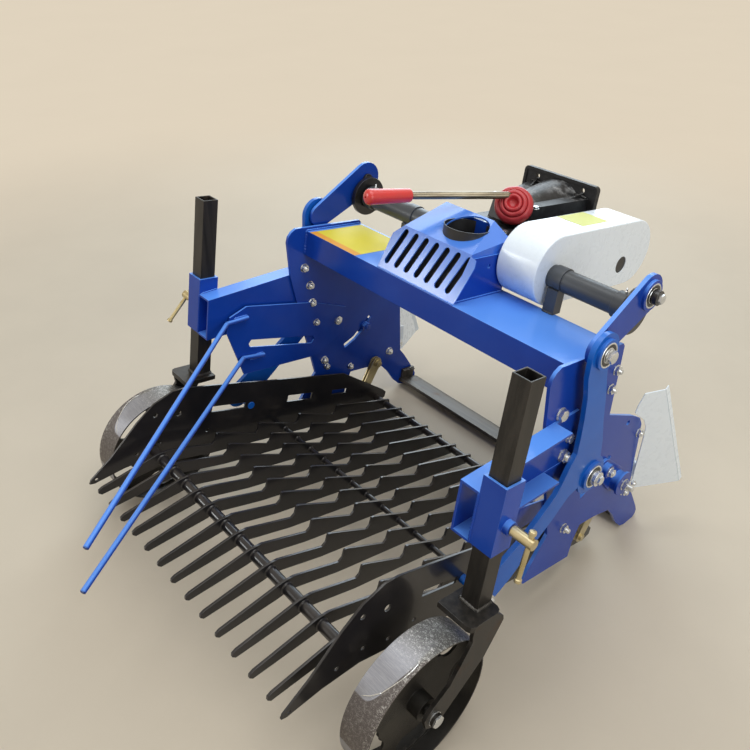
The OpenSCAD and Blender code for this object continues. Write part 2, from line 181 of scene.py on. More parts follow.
class Graph:
    """The node tree of one material or world."""

    def __init__(self, owner: Union[bpy.types.Material, bpy.types.World]) -> None:
        """Empties the owner's node tree.

        Args:
            owner: The material or world.
        """
        owner.use_nodes = True
        self.owner, self.tree = owner, owner.node_tree
        self.tree.nodes.clear()

    def node(
        self,
        kind: str,
        settings: Optional[dict] = None,
        values: Optional[dict] = None,
        out: Union[int, str] = 0,
    ) -> Wire:
        """Adds any node.

        Args:
            kind: The node's type name.
            settings: Its properties, set first.
            values: Numbers, colours or wires for its sockets, by name or number.
            out: Which output is wanted.

        Returns:
            That output as a wire.
        """
        made = self.tree.nodes.new(kind)
        for key, value in (settings or {}).items():
            setattr(made, key, value)
        for key, value in (values or {}).items():
            if isinstance(value, Wire):
                self.tree.links.new(value.socket, made.inputs[key])
            else:
                made.inputs[key].default_value = value
        return Wire(self, made.outputs[out])

    def place(self) -> Wire:
        """The point on the piece, in metres, in the frame at rest."""
        return self.node("ShaderNodeTexCoord", out="Object")

    def noise(
        self, scale: float, detail: float = 3.0, rough: float = 0.55, at: Optional[Wire] = None
    ) -> Wire:
        """Soft noise.

        Args:
            scale: Lumps per metre.
            detail: Octaves.
            rough: Weight of the fine octaves.
            at: Where it is read, or None for the piece's own place.

        Returns:
            The noise, about 0.5 in the middle.
        """
        values = {"Vector": at or self.place(), "Scale": scale, "Detail": detail, "Roughness": rough}
        return self.node("ShaderNodeTexNoise", {}, values)

    def stretched(self, factors: Point) -> Wire:
        """The piece's own place, scaled along each axis."""
        return self.vector("MULTIPLY", self.place(), tuple(factors))

    def vector(
        self, operation: str, first: Colour, second: Optional[Colour] = None, out: Union[int, str] = 0
    ) -> Wire:
        """One Vector Math node.

        Args:
            operation: What it does.
            first: A vector.
            second: Another, where the operation takes two.
            out: Which output is wanted.

        Returns:
            That output as a wire.
        """
        values = {0: first} if second is None else {0: first, 1: second}
        return self.node("ShaderNodeVectorMath", {"operation": operation}, values, out)

    def apart(self, vector: Wire, axis: str) -> Wire:
        """One part of a vector, by the name of its axis."""
        return self.node("ShaderNodeSeparateXYZ", {}, {"Vector": vector}, out=axis)

    def tint(self, share: Number, first: Colour, second: Colour) -> Wire:
        """Mixes two colours.

        Args:
            share: 0 gives the first, 1 the second.
            first: A colour.
            second: A colour.

        Returns:
            The mixed colour.
        """
        values = {0: share}
        for slot, colour in ((6, first), (7, second)):
            values[slot] = colour if isinstance(colour, Wire) else (*colour, 1.0)
        return self.node("ShaderNodeMix", {"data_type": "RGBA"}, values, out=2)

    def edges(self, radius: float) -> Wire:
        """A mask of the piece's sharp edges.

        Args:
            radius: How wide it is on each side of an edge, in metres.

        Returns:
            1 on the edges, 0 on the faces.
        """
        rounded = self.node("ShaderNodeBevel", {"samples": 4}, {"Radius": radius})
        true = self.node("ShaderNodeNewGeometry", out="Normal")
        return (1.0 - self.vector("DOT_PRODUCT", rounded, true, out="Value")).rise(0.015, 0.2)

    def upward(self) -> Wire:
        """1 on faces that look up, 0 on walls and undersides."""
        return self.apart(self.node("ShaderNodeNewGeometry", out="Normal"), "Z").rise(0.25, 0.95)

    def height(self) -> Wire:
        """Height over the floor in metres."""
        return self.apart(self.place(), "Z")

    def bump(self, relief: Wire, depth: float, strength: float = 1.0) -> Wire:
        """A normal from relief, with its depth in metres."""
        values = {"Height": relief, "Distance": depth, "Strength": strength}
        return self.node("ShaderNodeBump", {}, values)

    def surface(self, **sockets: Union[Number, Point]) -> bpy.types.Material:
        """Ends the graph in a Principled surface.

        Args:
            sockets: Values by socket name, with underscores for spaces.

        Returns:
            The material.
        """
        values = {key.replace("_", " "): value for key, value in sockets.items()}
        self.end(self.node("ShaderNodeBsdfPrincipled", {}, values))
        return self.owner

    def end(self, shader: Wire, kind: str = "ShaderNodeOutputMaterial") -> None:
        """Joins a shader to the output of the material or the world."""
        output = self.tree.nodes.new(kind)
        self.tree.links.new(shader.socket, output.inputs["Surface"])


@dataclass(frozen=True)
class Paint:
    """Sprayed paint with gloss, dust heavier on its tops and low parts, worn edges, and painted
    highlights along its edges and on faces that look up.

    Attributes:
        name: The material's name.
        colour: Its colour.
        faded: The colour that it mixes with in clouds.
        slot: The frame's slot that it stands for; not used.
        gloss: Roughness of the clean paint.
        coat: Weight of the clear coat.
        shine: Specular level.
        film: How far faces that look up turn lighter, a painted highlight of the light from overhead.
        wear: Share of chips and rub marks.
        dust: Share of dust.
        bare: Colour of chips.
        dirt: Colour of dust.
        edge: Colour of the painted highlight along edges, also of rub marks.
    """

    name: str
    colour: Point
    faded: Point
    slot: str
    gloss: float = 0.22
    coat: float = 0.3
    shine: float = 0.35
    film: float = 0.0
    wear: float = 0.25
    dust: float = 0.25
    bare: Point = (0.30, 0.30, 0.31)
    dirt: Point = (0.24, 0.19, 0.14)
    edge: Point = (0.10, 0.24, 0.75)

    def material(self) -> bpy.types.Material:
        """Builds the shader.

        Returns:
            The material.
        """
        g = Graph(bpy.data.materials.new(self.name))
        cloudy = g.noise(3.5, 4.0)
        spots = g.noise(55.0, 4.0, 0.6)
        edge = g.edges(0.0016)
        chips = edge * (spots + cloudy).rise(1.12, 1.3) * self.wear
        # painted highlight: a band of the edge colour along every edge that is not chipped
        painted_edge_highlight = edge * (1.0 - chips) * 0.35
        low = (1.0 - g.height().rise(0.02, 0.35)) * 0.5 + 0.35
        dusty = (g.upward() * 0.4 + low) * g.noise(11.0, 6.0, 0.65).rise(0.45, 0.75) * self.dust
        specks = g.noise(240.0, 3.0, 0.7).rise(0.68, 0.75) * self.dust
        strokes = g.noise(1.0, 5.0, 0.7, at=g.stretched((12.0, 190.0, 150.0)))
        rubbed = strokes.rise(0.66, 0.78) * self.wear
        colour = g.tint(cloudy.rise(0.35, 0.7), self.colour, self.faded)
        # painted highlight: faces that look up turn a lighter blue, as if lit from overhead
        colour = g.tint(g.upward() * self.film, colour, (0.13, 0.35, 0.94))
        colour = g.tint(painted_edge_highlight + rubbed * 0.3, colour, self.edge)
        colour = g.tint((dusty + specks * 0.4).least(1.0) * 0.75, colour, self.dirt)
        colour = g.tint(chips.least(1.0), colour, self.bare)
        rough = self.gloss + dusty * 0.45 + (spots - 0.5) * 0.12 + chips * 0.2 + rubbed * 0.15
        relief = g.noise(900.0, 2.0) * 0.2 + g.noise(160.0, 2.0) * 0.5 + g.noise(26.0, 2.0) * 1.2
        return g.surface(
            Base_Color=colour,
            Roughness=rough.most(0.05),
            Specular_IOR_Level=self.shine,
            Coat_Weight=((1.0 - dusty) * self.coat).most(0.0),
            Coat_Roughness=0.12,
            Normal=g.bump(relief - chips * 0.8, 0.00022, 0.35),
        )


@dataclass(frozen=True)
class Steel:
    """Bare, plated or scaled steel with streaks, specks of rust and bright edges.

    Attributes:
        name: The material's name.
        colour: Its colour.
        second: The colour of its streaks.
        slot: The frame's slot that it stands for; not used.
        rust: Colour of rust.
        rusty: Share of rust.
        shine: Roughness of clean steel.
        metal: How metallic it is.
        bright: Colour of rubbed edges.
        edge_wear: How far edges are rubbed.
        streak: Streaks per metre along each axis.
        grain: Depth of the relief in metres.
    """

    name: str
    colour: Point
    second: Point
    slot: str
    rust: Point = (0.16, 0.07, 0.03)
    rusty: float = 0.2
    shine: float = 0.35
    metal: float = 0.9
    bright: Point = (0.55, 0.54, 0.52)
    edge_wear: float = 0.4
    streak: Point = (30.0, 30.0, 4.0)
    grain: float = 0.0002

    def material(self) -> bpy.types.Material:
        """Builds the shader.

        Returns:
            The material.
        """
        g = Graph(bpy.data.materials.new(self.name))
        streaks = g.noise(1.0, 5.0, 0.6, at=g.stretched(self.streak))
        patches = g.noise(16.0, 5.0, 0.62)
        specks = g.noise(330.0, 3.0, 0.7)
        edge = g.edges(0.0014) * g.noise(70.0, 3.0).rise(0.35, 0.6)
        rust = (patches.rise(0.55, 0.75) * 0.7 + specks.rise(0.6, 0.72) * 0.6) * self.rusty
        colour = g.tint(streaks.rise(0.35, 0.68), self.colour, self.second)
        colour = g.tint(rust.least(1.0), colour, self.rust)
        colour = g.tint(edge * self.edge_wear, colour, self.bright)
        return g.surface(
            Base_Color=colour,
            Metallic=((1.0 - rust * 0.8) * self.metal).most(0.0),
            Roughness=(self.shine + rust * 0.5 + (streaks - 0.5) * 0.25 - edge * 0.08).most(0.08),
            Normal=g.bump(specks * 0.5 + patches * 0.8, self.grain, 0.5),
        )


@dataclass(frozen=True)
class WornBand:
    """A gauge wheel's steel: a rubbed silver tread, rough scale in patches, and near-black inside it:
    the spokes' dark steel, with painted shade on the rim's inner face.

    Attributes:
        name: The material's name.
        slot: The frame's slot that it stands for; not used.
        axle: A point on the axle, in metres.
        tread: Radii between which the tread begins.
        seam: Where the weld's bend begins, how wide it is, and the weld's angle in radians.
    """

    name: str = "worn_wheel_steel"
    slot: str = "wheel_steel"
    axle: Point = (0.0, -0.337, 0.150)
    tread: tuple[float, float] = (0.1476, 0.1492)
    seam: tuple[float, float, float] = (0.468, 0.046, 2.426)

    def material(self) -> bpy.types.Material:
        """Builds the shader.

        Returns:
            The material.
        """
        g = Graph(bpy.data.materials.new(self.name))
        broad = g.noise(9.0, 4.0, 0.6)
        pits = g.noise(520.0, 4.0, 0.75)
        coarse = g.noise(150.0, 5.0, 0.75)
        scratch = g.noise(1.0, 4.0, 0.7, at=g.stretched((40.0, 700.0, 700.0)))
        offset = g.vector("SUBTRACT", g.place(), self.axle)
        flat = g.vector("MULTIPLY", offset, (0.0, 1.0, 1.0))
        across, ahead, over = (g.apart(offset, axis) for axis in "XYZ")
        outside = g.vector("LENGTH", flat, out="Value").rise(*self.tread)
        turn = g.node("ShaderNodeMath", {"operation": "ARCTAN2"}, {0: over, 1: ahead})
        wide = g.node("ShaderNodeMath", {"operation": "ABSOLUTE"}, {0: across})
        seam_x, seam_width, seam_turn = self.seam
        bend = ((wide - seam_x) / seam_width).most(0.0).least(1.05) ** 3.0
        past = (turn + bend * 0.7 - seam_turn).rise(0.0, 0.03)
        below = (past + (-0.01 - over).rise(0.0, 0.04)).least(1.0)
        top = (1.0 - turn.rise(1.25, 2.05)) * over.rise(0.02, 0.08)
        rim = (wide + coarse * 0.012).rise(0.512, 0.523)
        speckle = (pits * 0.55 + coarse * 0.45).rise(0.50, 0.59)
        silver = g.tint(scratch.rise(0.35, 0.7), (0.27, 0.275, 0.31), (0.36, 0.365, 0.40))
        silver = g.tint((broad.rise(0.5, 0.7) * 0.4), silver, (0.17, 0.16, 0.17))
        mixed = g.tint(speckle, (0.14, 0.135, 0.125), (0.60, 0.59, 0.56))
        brown = g.tint(speckle * (0.35 + rim * 0.5), (0.105, 0.087, 0.080), (0.52, 0.49, 0.44))
        tread = g.tint((top + rim * 0.8 + (broad - 0.5) * 0.5).least(1.0).most(0.0), silver, mixed)
        tread = g.tint(below, tread, brown)
        # near-black inside the tread: partly the spokes' dark steel, partly painted shade inside the
        # rim
        inner = g.tint(broad.rise(0.4, 0.65), (0.010, 0.009, 0.008), (0.026, 0.023, 0.018))
        inner = g.tint(pits.rise(0.6, 0.75) * 0.2, inner, (0.14, 0.08, 0.05))
        return g.surface(
            Base_Color=g.tint(outside, inner, tread),
            Metallic=0.2 + outside * (0.35 - below * 0.35),
            Roughness=0.5 + outside * (below * 0.15 - 0.1) + (scratch - 0.5) * 0.15,
            Normal=g.bump((pits + coarse) * (0.25 + below + top) * 0.5 + scratch * 0.15, 0.0009, 0.7),
        )


@dataclass(frozen=True)
class Rubber:
    """Moulded rubber or plastic, faintly mottled, with dust in its folds."""

    name: str
    colour: Point
    slot: str
    gloss: float = 0.42
    coat: float = 0.15

    def material(self) -> bpy.types.Material:
        """Builds the shader.

        Returns:
            The material.
        """
        g = Graph(bpy.data.materials.new(self.name))
        mottle = g.noise(30.0, 4.0)
        dust = g.noise(14.0, 5.0, 0.65).rise(0.55, 0.78) * (0.2 + g.upward() * 0.3)
        pale = tuple(0.75 * c + 0.03 for c in self.colour)
        colour = g.tint(mottle.rise(0.4, 0.7) * 0.3, self.colour, pale)
        colour = g.tint(dust * 0.12, colour, (0.45, 0.36, 0.30))
        return g.surface(
            Base_Color=colour,
            Roughness=self.gloss + dust * 0.3 + (mottle - 0.5) * 0.15,
            Coat_Weight=self.coat,
            Coat_Roughness=0.25,
            Normal=g.bump(g.noise(600.0, 2.0), 0.0001, 0.4),
        )


@dataclass(frozen=True)
class Casting:
    """Painted sand casting: pebbled skin, soft gloss, dust on its shoulders."""

    name: str = "black_casting"
    slot: str = "cast_black"
    dust: float = 0.1
    gloss: float = 0.5

    def material(self) -> bpy.types.Material:
        """Builds the shader.

        Returns:
            The material.
        """
        g = Graph(bpy.data.materials.new(self.name))
        pebbles = g.noise(420.0, 3.0, 0.6)
        lumps = g.noise(60.0, 3.0)
        clouds = g.noise(7.0, 3.0).rise(0.4, 0.65)
        dust = g.upward() * g.noise(34.0, 6.0, 0.75).rise(0.42, 0.72) * clouds
        colour = g.tint(lumps.rise(0.4, 0.7), (0.009, 0.009, 0.010), (0.020, 0.020, 0.022))
        colour = g.tint(dust * self.dust, colour, (0.36, 0.35, 0.34))
        return g.surface(
            Base_Color=colour,
            Roughness=self.gloss + dust * 0.3 + (lumps - 0.5) * 0.1,
            Specular_IOR_Level=0.3,
            Coat_Weight=0.1,
            Coat_Roughness=0.3,
            Normal=g.bump(pebbles * 0.6 + lumps * 0.5, 0.0006, 0.6),
        )


@dataclass(frozen=True)
class Label:
    """A blank stuck-on label of plain colour, faintly creased and scuffed."""

    name: str
    colour: Point
    rim: Point
    slot: str = "white_paint"

    def material(self) -> bpy.types.Material:
        """Builds the shader.

        Returns:
            The material.
        """
        g = Graph(bpy.data.materials.new(self.name))
        scuff = g.noise(90.0, 5.0, 0.7).rise(0.58, 0.72)
        darker = tuple(0.8 * c for c in self.colour)
        colour = g.tint(g.noise(9.0).rise(0.35, 0.7) * 0.3, self.colour, darker)
        colour = g.tint(scuff * 0.3, colour, self.rim)
        return g.surface(
            Base_Color=colour,
            Roughness=0.5 + scuff * 0.2,
            Specular_IOR_Level=0.25,
            Normal=g.bump(g.noise(25.0, 2.0), 0.0006, 0.35),
        )


class Finish(Enum):
    """Every finish on the machine."""

    BLUE = Paint(
        "gloss_blue", (0.006, 0.046, 0.34), (0.010, 0.064, 0.41), "blue_paint",
        coat=0.15, shine=0.2, dust=0.06, film=0.85,
    )
    # A lighter copy of the blue paint for the hood: painted light on its sloped louvred face.
    HOOD_BLUE = Paint(
        "hood_blue_paint", (0.030, 0.14, 0.60), (0.04, 0.17, 0.66), "blue_paint",
        coat=0.6, shine=0.5, dust=0.06, film=0.4,
    )
    # A lighter copy of the blue paint for the rockers: painted light on them.
    ROCKER_BLUE = Paint(
        "rocker_blue_paint", (0.006, 0.10, 0.46), (0.010, 0.13, 0.54), "blue_paint",
        coat=0.12, shine=0.2, dust=0.04, film=0.3,
    )
    # edge here and below: colour of the painted edge highlight, also of rub marks
    BLACK = Paint(
        "gloss_black", (0.008, 0.008, 0.010), (0.018, 0.016, 0.018), "black_paint",
        gloss=0.3, coat=0.45, wear=0.35, dust=0.3, bare=(0.16, 0.15, 0.15), dirt=(0.10, 0.075, 0.055),
        edge=(0.07, 0.07, 0.075),
    )
    # Black paint with a satin gloss; its colour is lighter than the gloss black as a painted highlight
    # of the shaft housing's lit top.
    SATIN = Paint(
        "satin_black_paint", (0.048, 0.054, 0.062), (0.066, 0.073, 0.082), "black_paint",
        gloss=0.42, coat=0.2, wear=0.3, dust=0.25, bare=(0.16, 0.15, 0.15), dirt=(0.16, 0.14, 0.12),
        edge=(0.09, 0.09, 0.10),
    )
    WHITE = Paint(
        "gloss_white", (0.86, 0.92, 0.96), (0.85, 0.905, 0.95), "white_paint",
        gloss=0.28, coat=0.5, wear=0.05, dust=0.02, bare=(0.32, 0.32, 0.33), dirt=(0.42, 0.38, 0.32),
        edge=(0.84, 0.85, 0.86),
    )
    POST = Steel(
        "post_steel", (0.012, 0.011, 0.010), (0.034, 0.030, 0.026), "raw_steel",
        rusty=0.3, metal=0.3, shine=0.42, bright=(0.30, 0.29, 0.27), edge_wear=0.5,
        streak=(60.0, 60.0, 3.0),
    )
    BLADE = Steel(
        "blade_steel", (0.035, 0.032, 0.030), (0.085, 0.078, 0.070), "raw_steel",
        rusty=0.5, metal=0.6, shine=0.42, edge_wear=0.8, streak=(4.0, 60.0, 30.0),
    )
    WELD = Steel(
        "weld_steel", (0.03, 0.028, 0.028), (0.10, 0.095, 0.09), "raw_steel",
        rusty=0.35, shine=0.42, metal=0.6,
    )
    ZINC = Steel(
        "yellow_zinc", (0.50, 0.42, 0.22), (0.62, 0.54, 0.34), "zinc",
        rusty=0.12, shine=0.3, streak=(20.0, 20.0, 20.0),
    )
    BOLT = Steel(
        "bolt_zinc", (0.62, 0.65, 0.68), (0.80, 0.82, 0.84), "shaft_steel",
        rusty=0.06, shine=0.25, streak=(40.0, 40.0, 40.0),
    )
    ROD = Steel(
        "lever_steel", (0.17, 0.145, 0.105), (0.34, 0.30, 0.22), "shaft_steel",
        rusty=0.3, shine=0.3, streak=(6.0, 6.0, 90.0),
    )
    SHAFT = Steel("ground_steel", (0.32, 0.32, 0.33), (0.50, 0.50, 0.51), "shaft_steel", rusty=0.2)
    SEAL = Rubber("bearing_seal", (0.010, 0.010, 0.011), "cast_black")
    CAST = Casting()
    DUSTY_CAST = Casting("dusty_casting", dust=0.85, gloss=0.4)
    BAND = WornBand()
    BOOT = Rubber("moulded_rubber", (0.46, 0.020, 0.026), "red_rubber")
    GRIP = Rubber("red_grip", (0.66, 0.034, 0.030), "red_plastic", gloss=0.36, coat=0.4)
    YELLOW = Label("yellow_label", (0.78, 0.66, 0.05), (0.86, 0.80, 0.30))
    ORANGE = Label("orange_label", (0.80, 0.36, 0.04), (0.9, 0.6, 0.3))
    LIME = Label("lime_label", (0.66, 0.68, 0.20), (0.78, 0.78, 0.42))

    def get(self) -> bpy.types.Material:
        """The finish's material, made at its first use; its name is none of the frame's slots."""
        return bpy.data.materials.get(self.value.name) or self.value.material()


# ---- shapes ----


def turned(axis: Point) -> Matrix:
    """The rotation that turns local Z to an axis."""
    return Vector(axis).normalized().to_track_quat("Z", "Y").to_matrix()


def circle(centre: Vector, side: Vector, up: Vector, radius: float, steps: int) -> list[Vector]:
    """Points round a circle.

    Args:
        centre: Its middle.
        side: Unit vector to the first point.
        up: Unit vector to the point a quarter turn on.
        radius: Its radius.
        steps: How many points.

    Returns:
        The points in order.
    """
    angles = (2 * math.pi * k / steps for k in range(steps))
    return [centre + (side * math.cos(a) + up * math.sin(a)) * radius for a in angles]


class Forge:
    """Gathers the faces of one piece in machine millimetres and makes it an object.

    Attributes:
        bead_step: Distance between a weld bead's rings.
        bead_swell: Share by which its ripples rise and fall.
        bead_uneven: Share by which each ring may differ.
        thread_pitch: Distance between the ridges of a thread that shows.
    """

    bead_step = 2.6
    bead_swell = 0.16
    bead_uneven = 0.08
    thread_pitch = 1.8

    def __init__(self) -> None:
        """Starts with no faces."""
        self.bm = bmesh.new()

    def skin(self, rings: Sequence[Sequence[Vector]], closed: bool = True, caps: bool = True) -> None:
        """Joins rings of points by faces.

        Args:
            rings: Rings with the same number of points.
            closed: Whether each ring closes on itself.
            caps: Whether the first and last rings are filled.
        """
        made = [[self.bm.verts.new(p) for p in ring] for ring in rings]
        for a, b in zip(made, made[1:]):
            count = len(a) if closed else len(a) - 1
            for i in range(count):
                j = (i + 1) % len(a)
                self.bm.faces.new((a[i], a[j], b[j], b[i]))
        if caps:
            self.bm.faces.new(list(reversed(made[0])))
            self.bm.faces.new(made[-1])

    def slab(self, outline: Sequence[Point], depths: Point, place: Callable[..., Point]) -> None:
        """A flat slab between two copies of an outline.

        Args:
            outline: Its corners as pairs.
            depths: Where the two faces lie.
            place: Gives the point for a pair and a depth.
        """
        self.skin([[Vector(place(a, b, depth)) for a, b in outline] for depth in depths])

    def sheet(self, xs: Point, ys: Point, height: Callable[[float, float], float]) -> None:
        """A thin label on a grid of stations.

        Args:
            xs: The stations along X.
            ys: The stations along Y.
            height: Gives Z by X and Y.
        """
        rows = [[Vector((x, y, height(x, y))) for x in xs] for y in ys]
        self.skin(rows, closed=False, caps=False)

    def lathe(
        self, profile: Sequence[Point], at: Point, axis: Point, steps: int = 32, caps: bool = True
    ) -> None:
        """Turns a profile round an axis.

        Args:
            profile: Pairs of radius and height along the axis.
            at: Where height 0 is.
            axis: The axis.
            steps: Points in a ring.
            caps: Whether the ends are filled.
        """
        turn, start = turned(axis), Vector(at)
        angles = [2 * math.pi * k / steps for k in range(steps)]
        rings = [
            [start + turn @ Vector((r * math.cos(a), r * math.sin(a), h)) for a in angles]
            for r, h in profile
        ]
        self.skin(rings, caps=caps)

    def hexagon(self, at: Point, axis: Point, flat: float, tall: float, spin: float) -> None:
        """A chamfered hexagon, as on a bolt head.

        Args:
            at: Middle of its foot.
            axis: Which way it stands.
            flat: Half its width across flats.
            tall: Its height.
            spin: Turn about the axis in degrees.
        """
        turn, start, steps = turned(axis), Vector(at), 24
        rings: list[list[Vector]] = [[] for _ in range(5)]
        for k in range(steps):
            a = 2 * math.pi * k / steps
            corner = flat / math.cos((a % (math.pi / 3)) - math.pi / 6)
            levels = (
                (corner * 0.985, 0.0),
                (corner, 0.4),
                (corner, tall - (corner - flat) * 0.6 - 0.3),
                (flat * 0.97, tall - 0.2),
                (flat * 0.9, tall),
            )
            b = a + math.radians(spin)
            for ring, (r, height) in zip(rings, levels):
                ring.append(start + turn @ Vector((r * math.cos(b), r * math.sin(b), height)))
        self.skin(rings)

    def bolt(
        self, at: Point, axis: Point, size: Fastener,
        shank: float = 0.0, washer: bool = True, spin: float = 0.0,
    ) -> None:
        """A bolt head or a nut on its washer.

        Args:
            at: The point on the surface that it sits on.
            axis: Which way it points.
            size: The thread size.
            shank: How far the thread stands out of a nut, or 0 for a head.
            washer: Whether a washer lies under it.
            spin: Turn about the axis in degrees.
        """
        thread, flat, tall, wide = size.value
        out, base = Vector(axis).normalized(), Vector(at)
        lift = 0.0
        if washer:
            lift = 0.16 * wide
            rim = [(wide * 0.97, 0), (wide, 0.3), (wide, lift - 0.3), (wide * 0.96, lift)]
            self.lathe(rim, base, axis, 28)
        self.hexagon(base + out * lift, axis, flat, tall, spin)
        if shank > 0:
            rings = [(thread * 0.98, tall - 0.5)]
            turns = max(2, int(shank / self.thread_pitch))
            for k in range(turns):
                h = tall + shank * (k + 0.3) / turns
                rings += [(thread, h), (thread * 0.88, h + shank * 0.4 / turns)]
            rings.append((thread * 0.75, tall + shank))
            self.lathe(rings, base + out * lift, axis, 20)

    def bead(self, path: Sequence[Point], radius: float, seed: int, closed: bool = False) -> None:
        """A weld bead with its ripples along a path.

        Args:
            path: Corner points in millimetres.
            radius: The bead's radius.
            seed: Seed of its unevenness.
            closed: Whether the path returns to its start.
        """
        points = [Vector(p) for p in path] + ([Vector(path[0])] if closed else [])
        rng = random.Random(seed)
        phase = rng.uniform(0, 6)
        stations: list[tuple[Vector, Vector]] = []
        for a, b in zip(points, points[1:]):
            count = max(2, int((b - a).length / self.bead_step))
            stations += [(a.lerp(b, k / count), (b - a).normalized()) for k in range(count)]
        stations.append((points[-1], (points[-1] - points[-2]).normalized()))
        rings = []
        for k, (p, along) in enumerate(stations):
            side = along.orthogonal().normalized()
            ripple = self.bead_swell * math.sin(k * 2.1 + phase)
            grow = 1 + ripple + rng.uniform(-self.bead_uneven, self.bead_uneven)
            ends = min(1.0, 0.45 + 0.3 * min(k, len(stations) - 1 - k)) if not closed else 1.0
            rings.append(circle(p, side, along.cross(side), radius * grow * ends, 8))
        self.skin(rings)

    def tube(self, path: Sequence[Point], radius: float, steps: int) -> None:
        """A round bar along a path.

        Args:
            path: Points on its middle line.
            radius: Its radius.
            steps: Points in a ring.
        """
        points = [Vector(p) for p in path]
        rings, side = [], None
        for k, p in enumerate(points):
            along = (points[min(k + 1, len(points) - 1)] - points[max(k - 1, 0)]).normalized()
            side = (side - along * side.dot(along) if side else along.orthogonal()).normalized()
            rings.append(circle(p, side, along.cross(side), radius, steps))
        self.skin(rings)

    def mirrored(self) -> None:
        """Adds the mirror of all faces on the other side of the machine."""
        bm = self.bm
        copied = bmesh.ops.duplicate(bm, geom=bm.verts[:] + bm.edges[:] + bm.faces[:])["geom"]
        for v in (g for g in copied if isinstance(g, bmesh.types.BMVert)):
            v.co.x = -v.co.x
        faces = [g for g in copied if isinstance(g, bmesh.types.BMFace)]
        bmesh.ops.reverse_faces(bm, faces=faces)

    def emit(self, name: str, body: str, finish: Finish, sharp: float = 38.0) -> bpy.types.Object:
        """Makes the object, in metres, on its body, and starts again with no faces.

        Args:
            name: The piece's name.
            body: The body that it moves with.
            finish: Its finish.
            sharp: Edges bent by more than these degrees stay sharp.

        Returns:
            The object.
        """
        bmesh.ops.transform(self.bm, matrix=PARK, verts=self.bm.verts)
        bmesh.ops.recalc_face_normals(self.bm, faces=self.bm.faces)
        for face in self.bm.faces:
            face.smooth = True
        for edge in self.bm.edges:
            bent = edge.is_manifold and edge.calc_face_angle() > math.radians(sharp)
            edge.smooth = not bent
        mesh = bpy.data.meshes.new(name)
        self.bm.to_mesh(mesh)
        self.bm.clear()
        made = bpy.data.objects.new(name, mesh)
        bpy.context.scene.collection.objects.link(made)
        mesh.materials.append(finish.get())
        made.modifiers.new("even_normals", "WEIGHTED_NORMAL").keep_sharp = True
        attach(made, body)
        log.info("%s: %d faces on %s", name, len(mesh.polygons), body)
        return made


class Yard:
    """The frame's own solids and how they are dressed.

    Attributes:
        touching: Points nearer than this, in metres, are joined.
        level: Faces bent by less than this angle become one.
        corner: Edges bent by more than this angle are rounded.
    """

    touching = 1e-5
    level = math.radians(0.6)
    corner = math.radians(28)

    def __init__(self, frame: dict) -> None:
        """Keeps the loaded frame."""
        self.nodes: dict[str, bpy.types.Object] = frame["nodes"]

    def dress(self, node: str, finish: Finish, rim: float = 0.9) -> None:
        """Gives a solid its finish and rounds its edges.

        Args:
            node: The solid's name.
            finish: Its finish.
            rim: Radius of its edges in millimetres, or 0 to leave them.
        """
        solid = self.nodes[node]
        solid.data.materials.clear()
        solid.data.materials.append(finish.get())
        solid.modifiers.new("join", "WELD").merge_threshold = self.touching
        if rim > 0:
            flat = solid.modifiers.new("flat_faces", "DECIMATE")
            flat.decimate_type, flat.angle_limit = "DISSOLVE", self.level
            edge = solid.modifiers.new("round_edges", "BEVEL")
            edge.width, edge.segments = rim * MILLIMETRE, 2
            edge.angle_limit, edge.miter_outer = self.corner, "MITER_ARC"
        solid.modifiers.new("even_normals", "WEIGHTED_NORMAL")
        log.info("%s dressed in %s", node, finish.value.name)


# ---- sub-assemblies ----


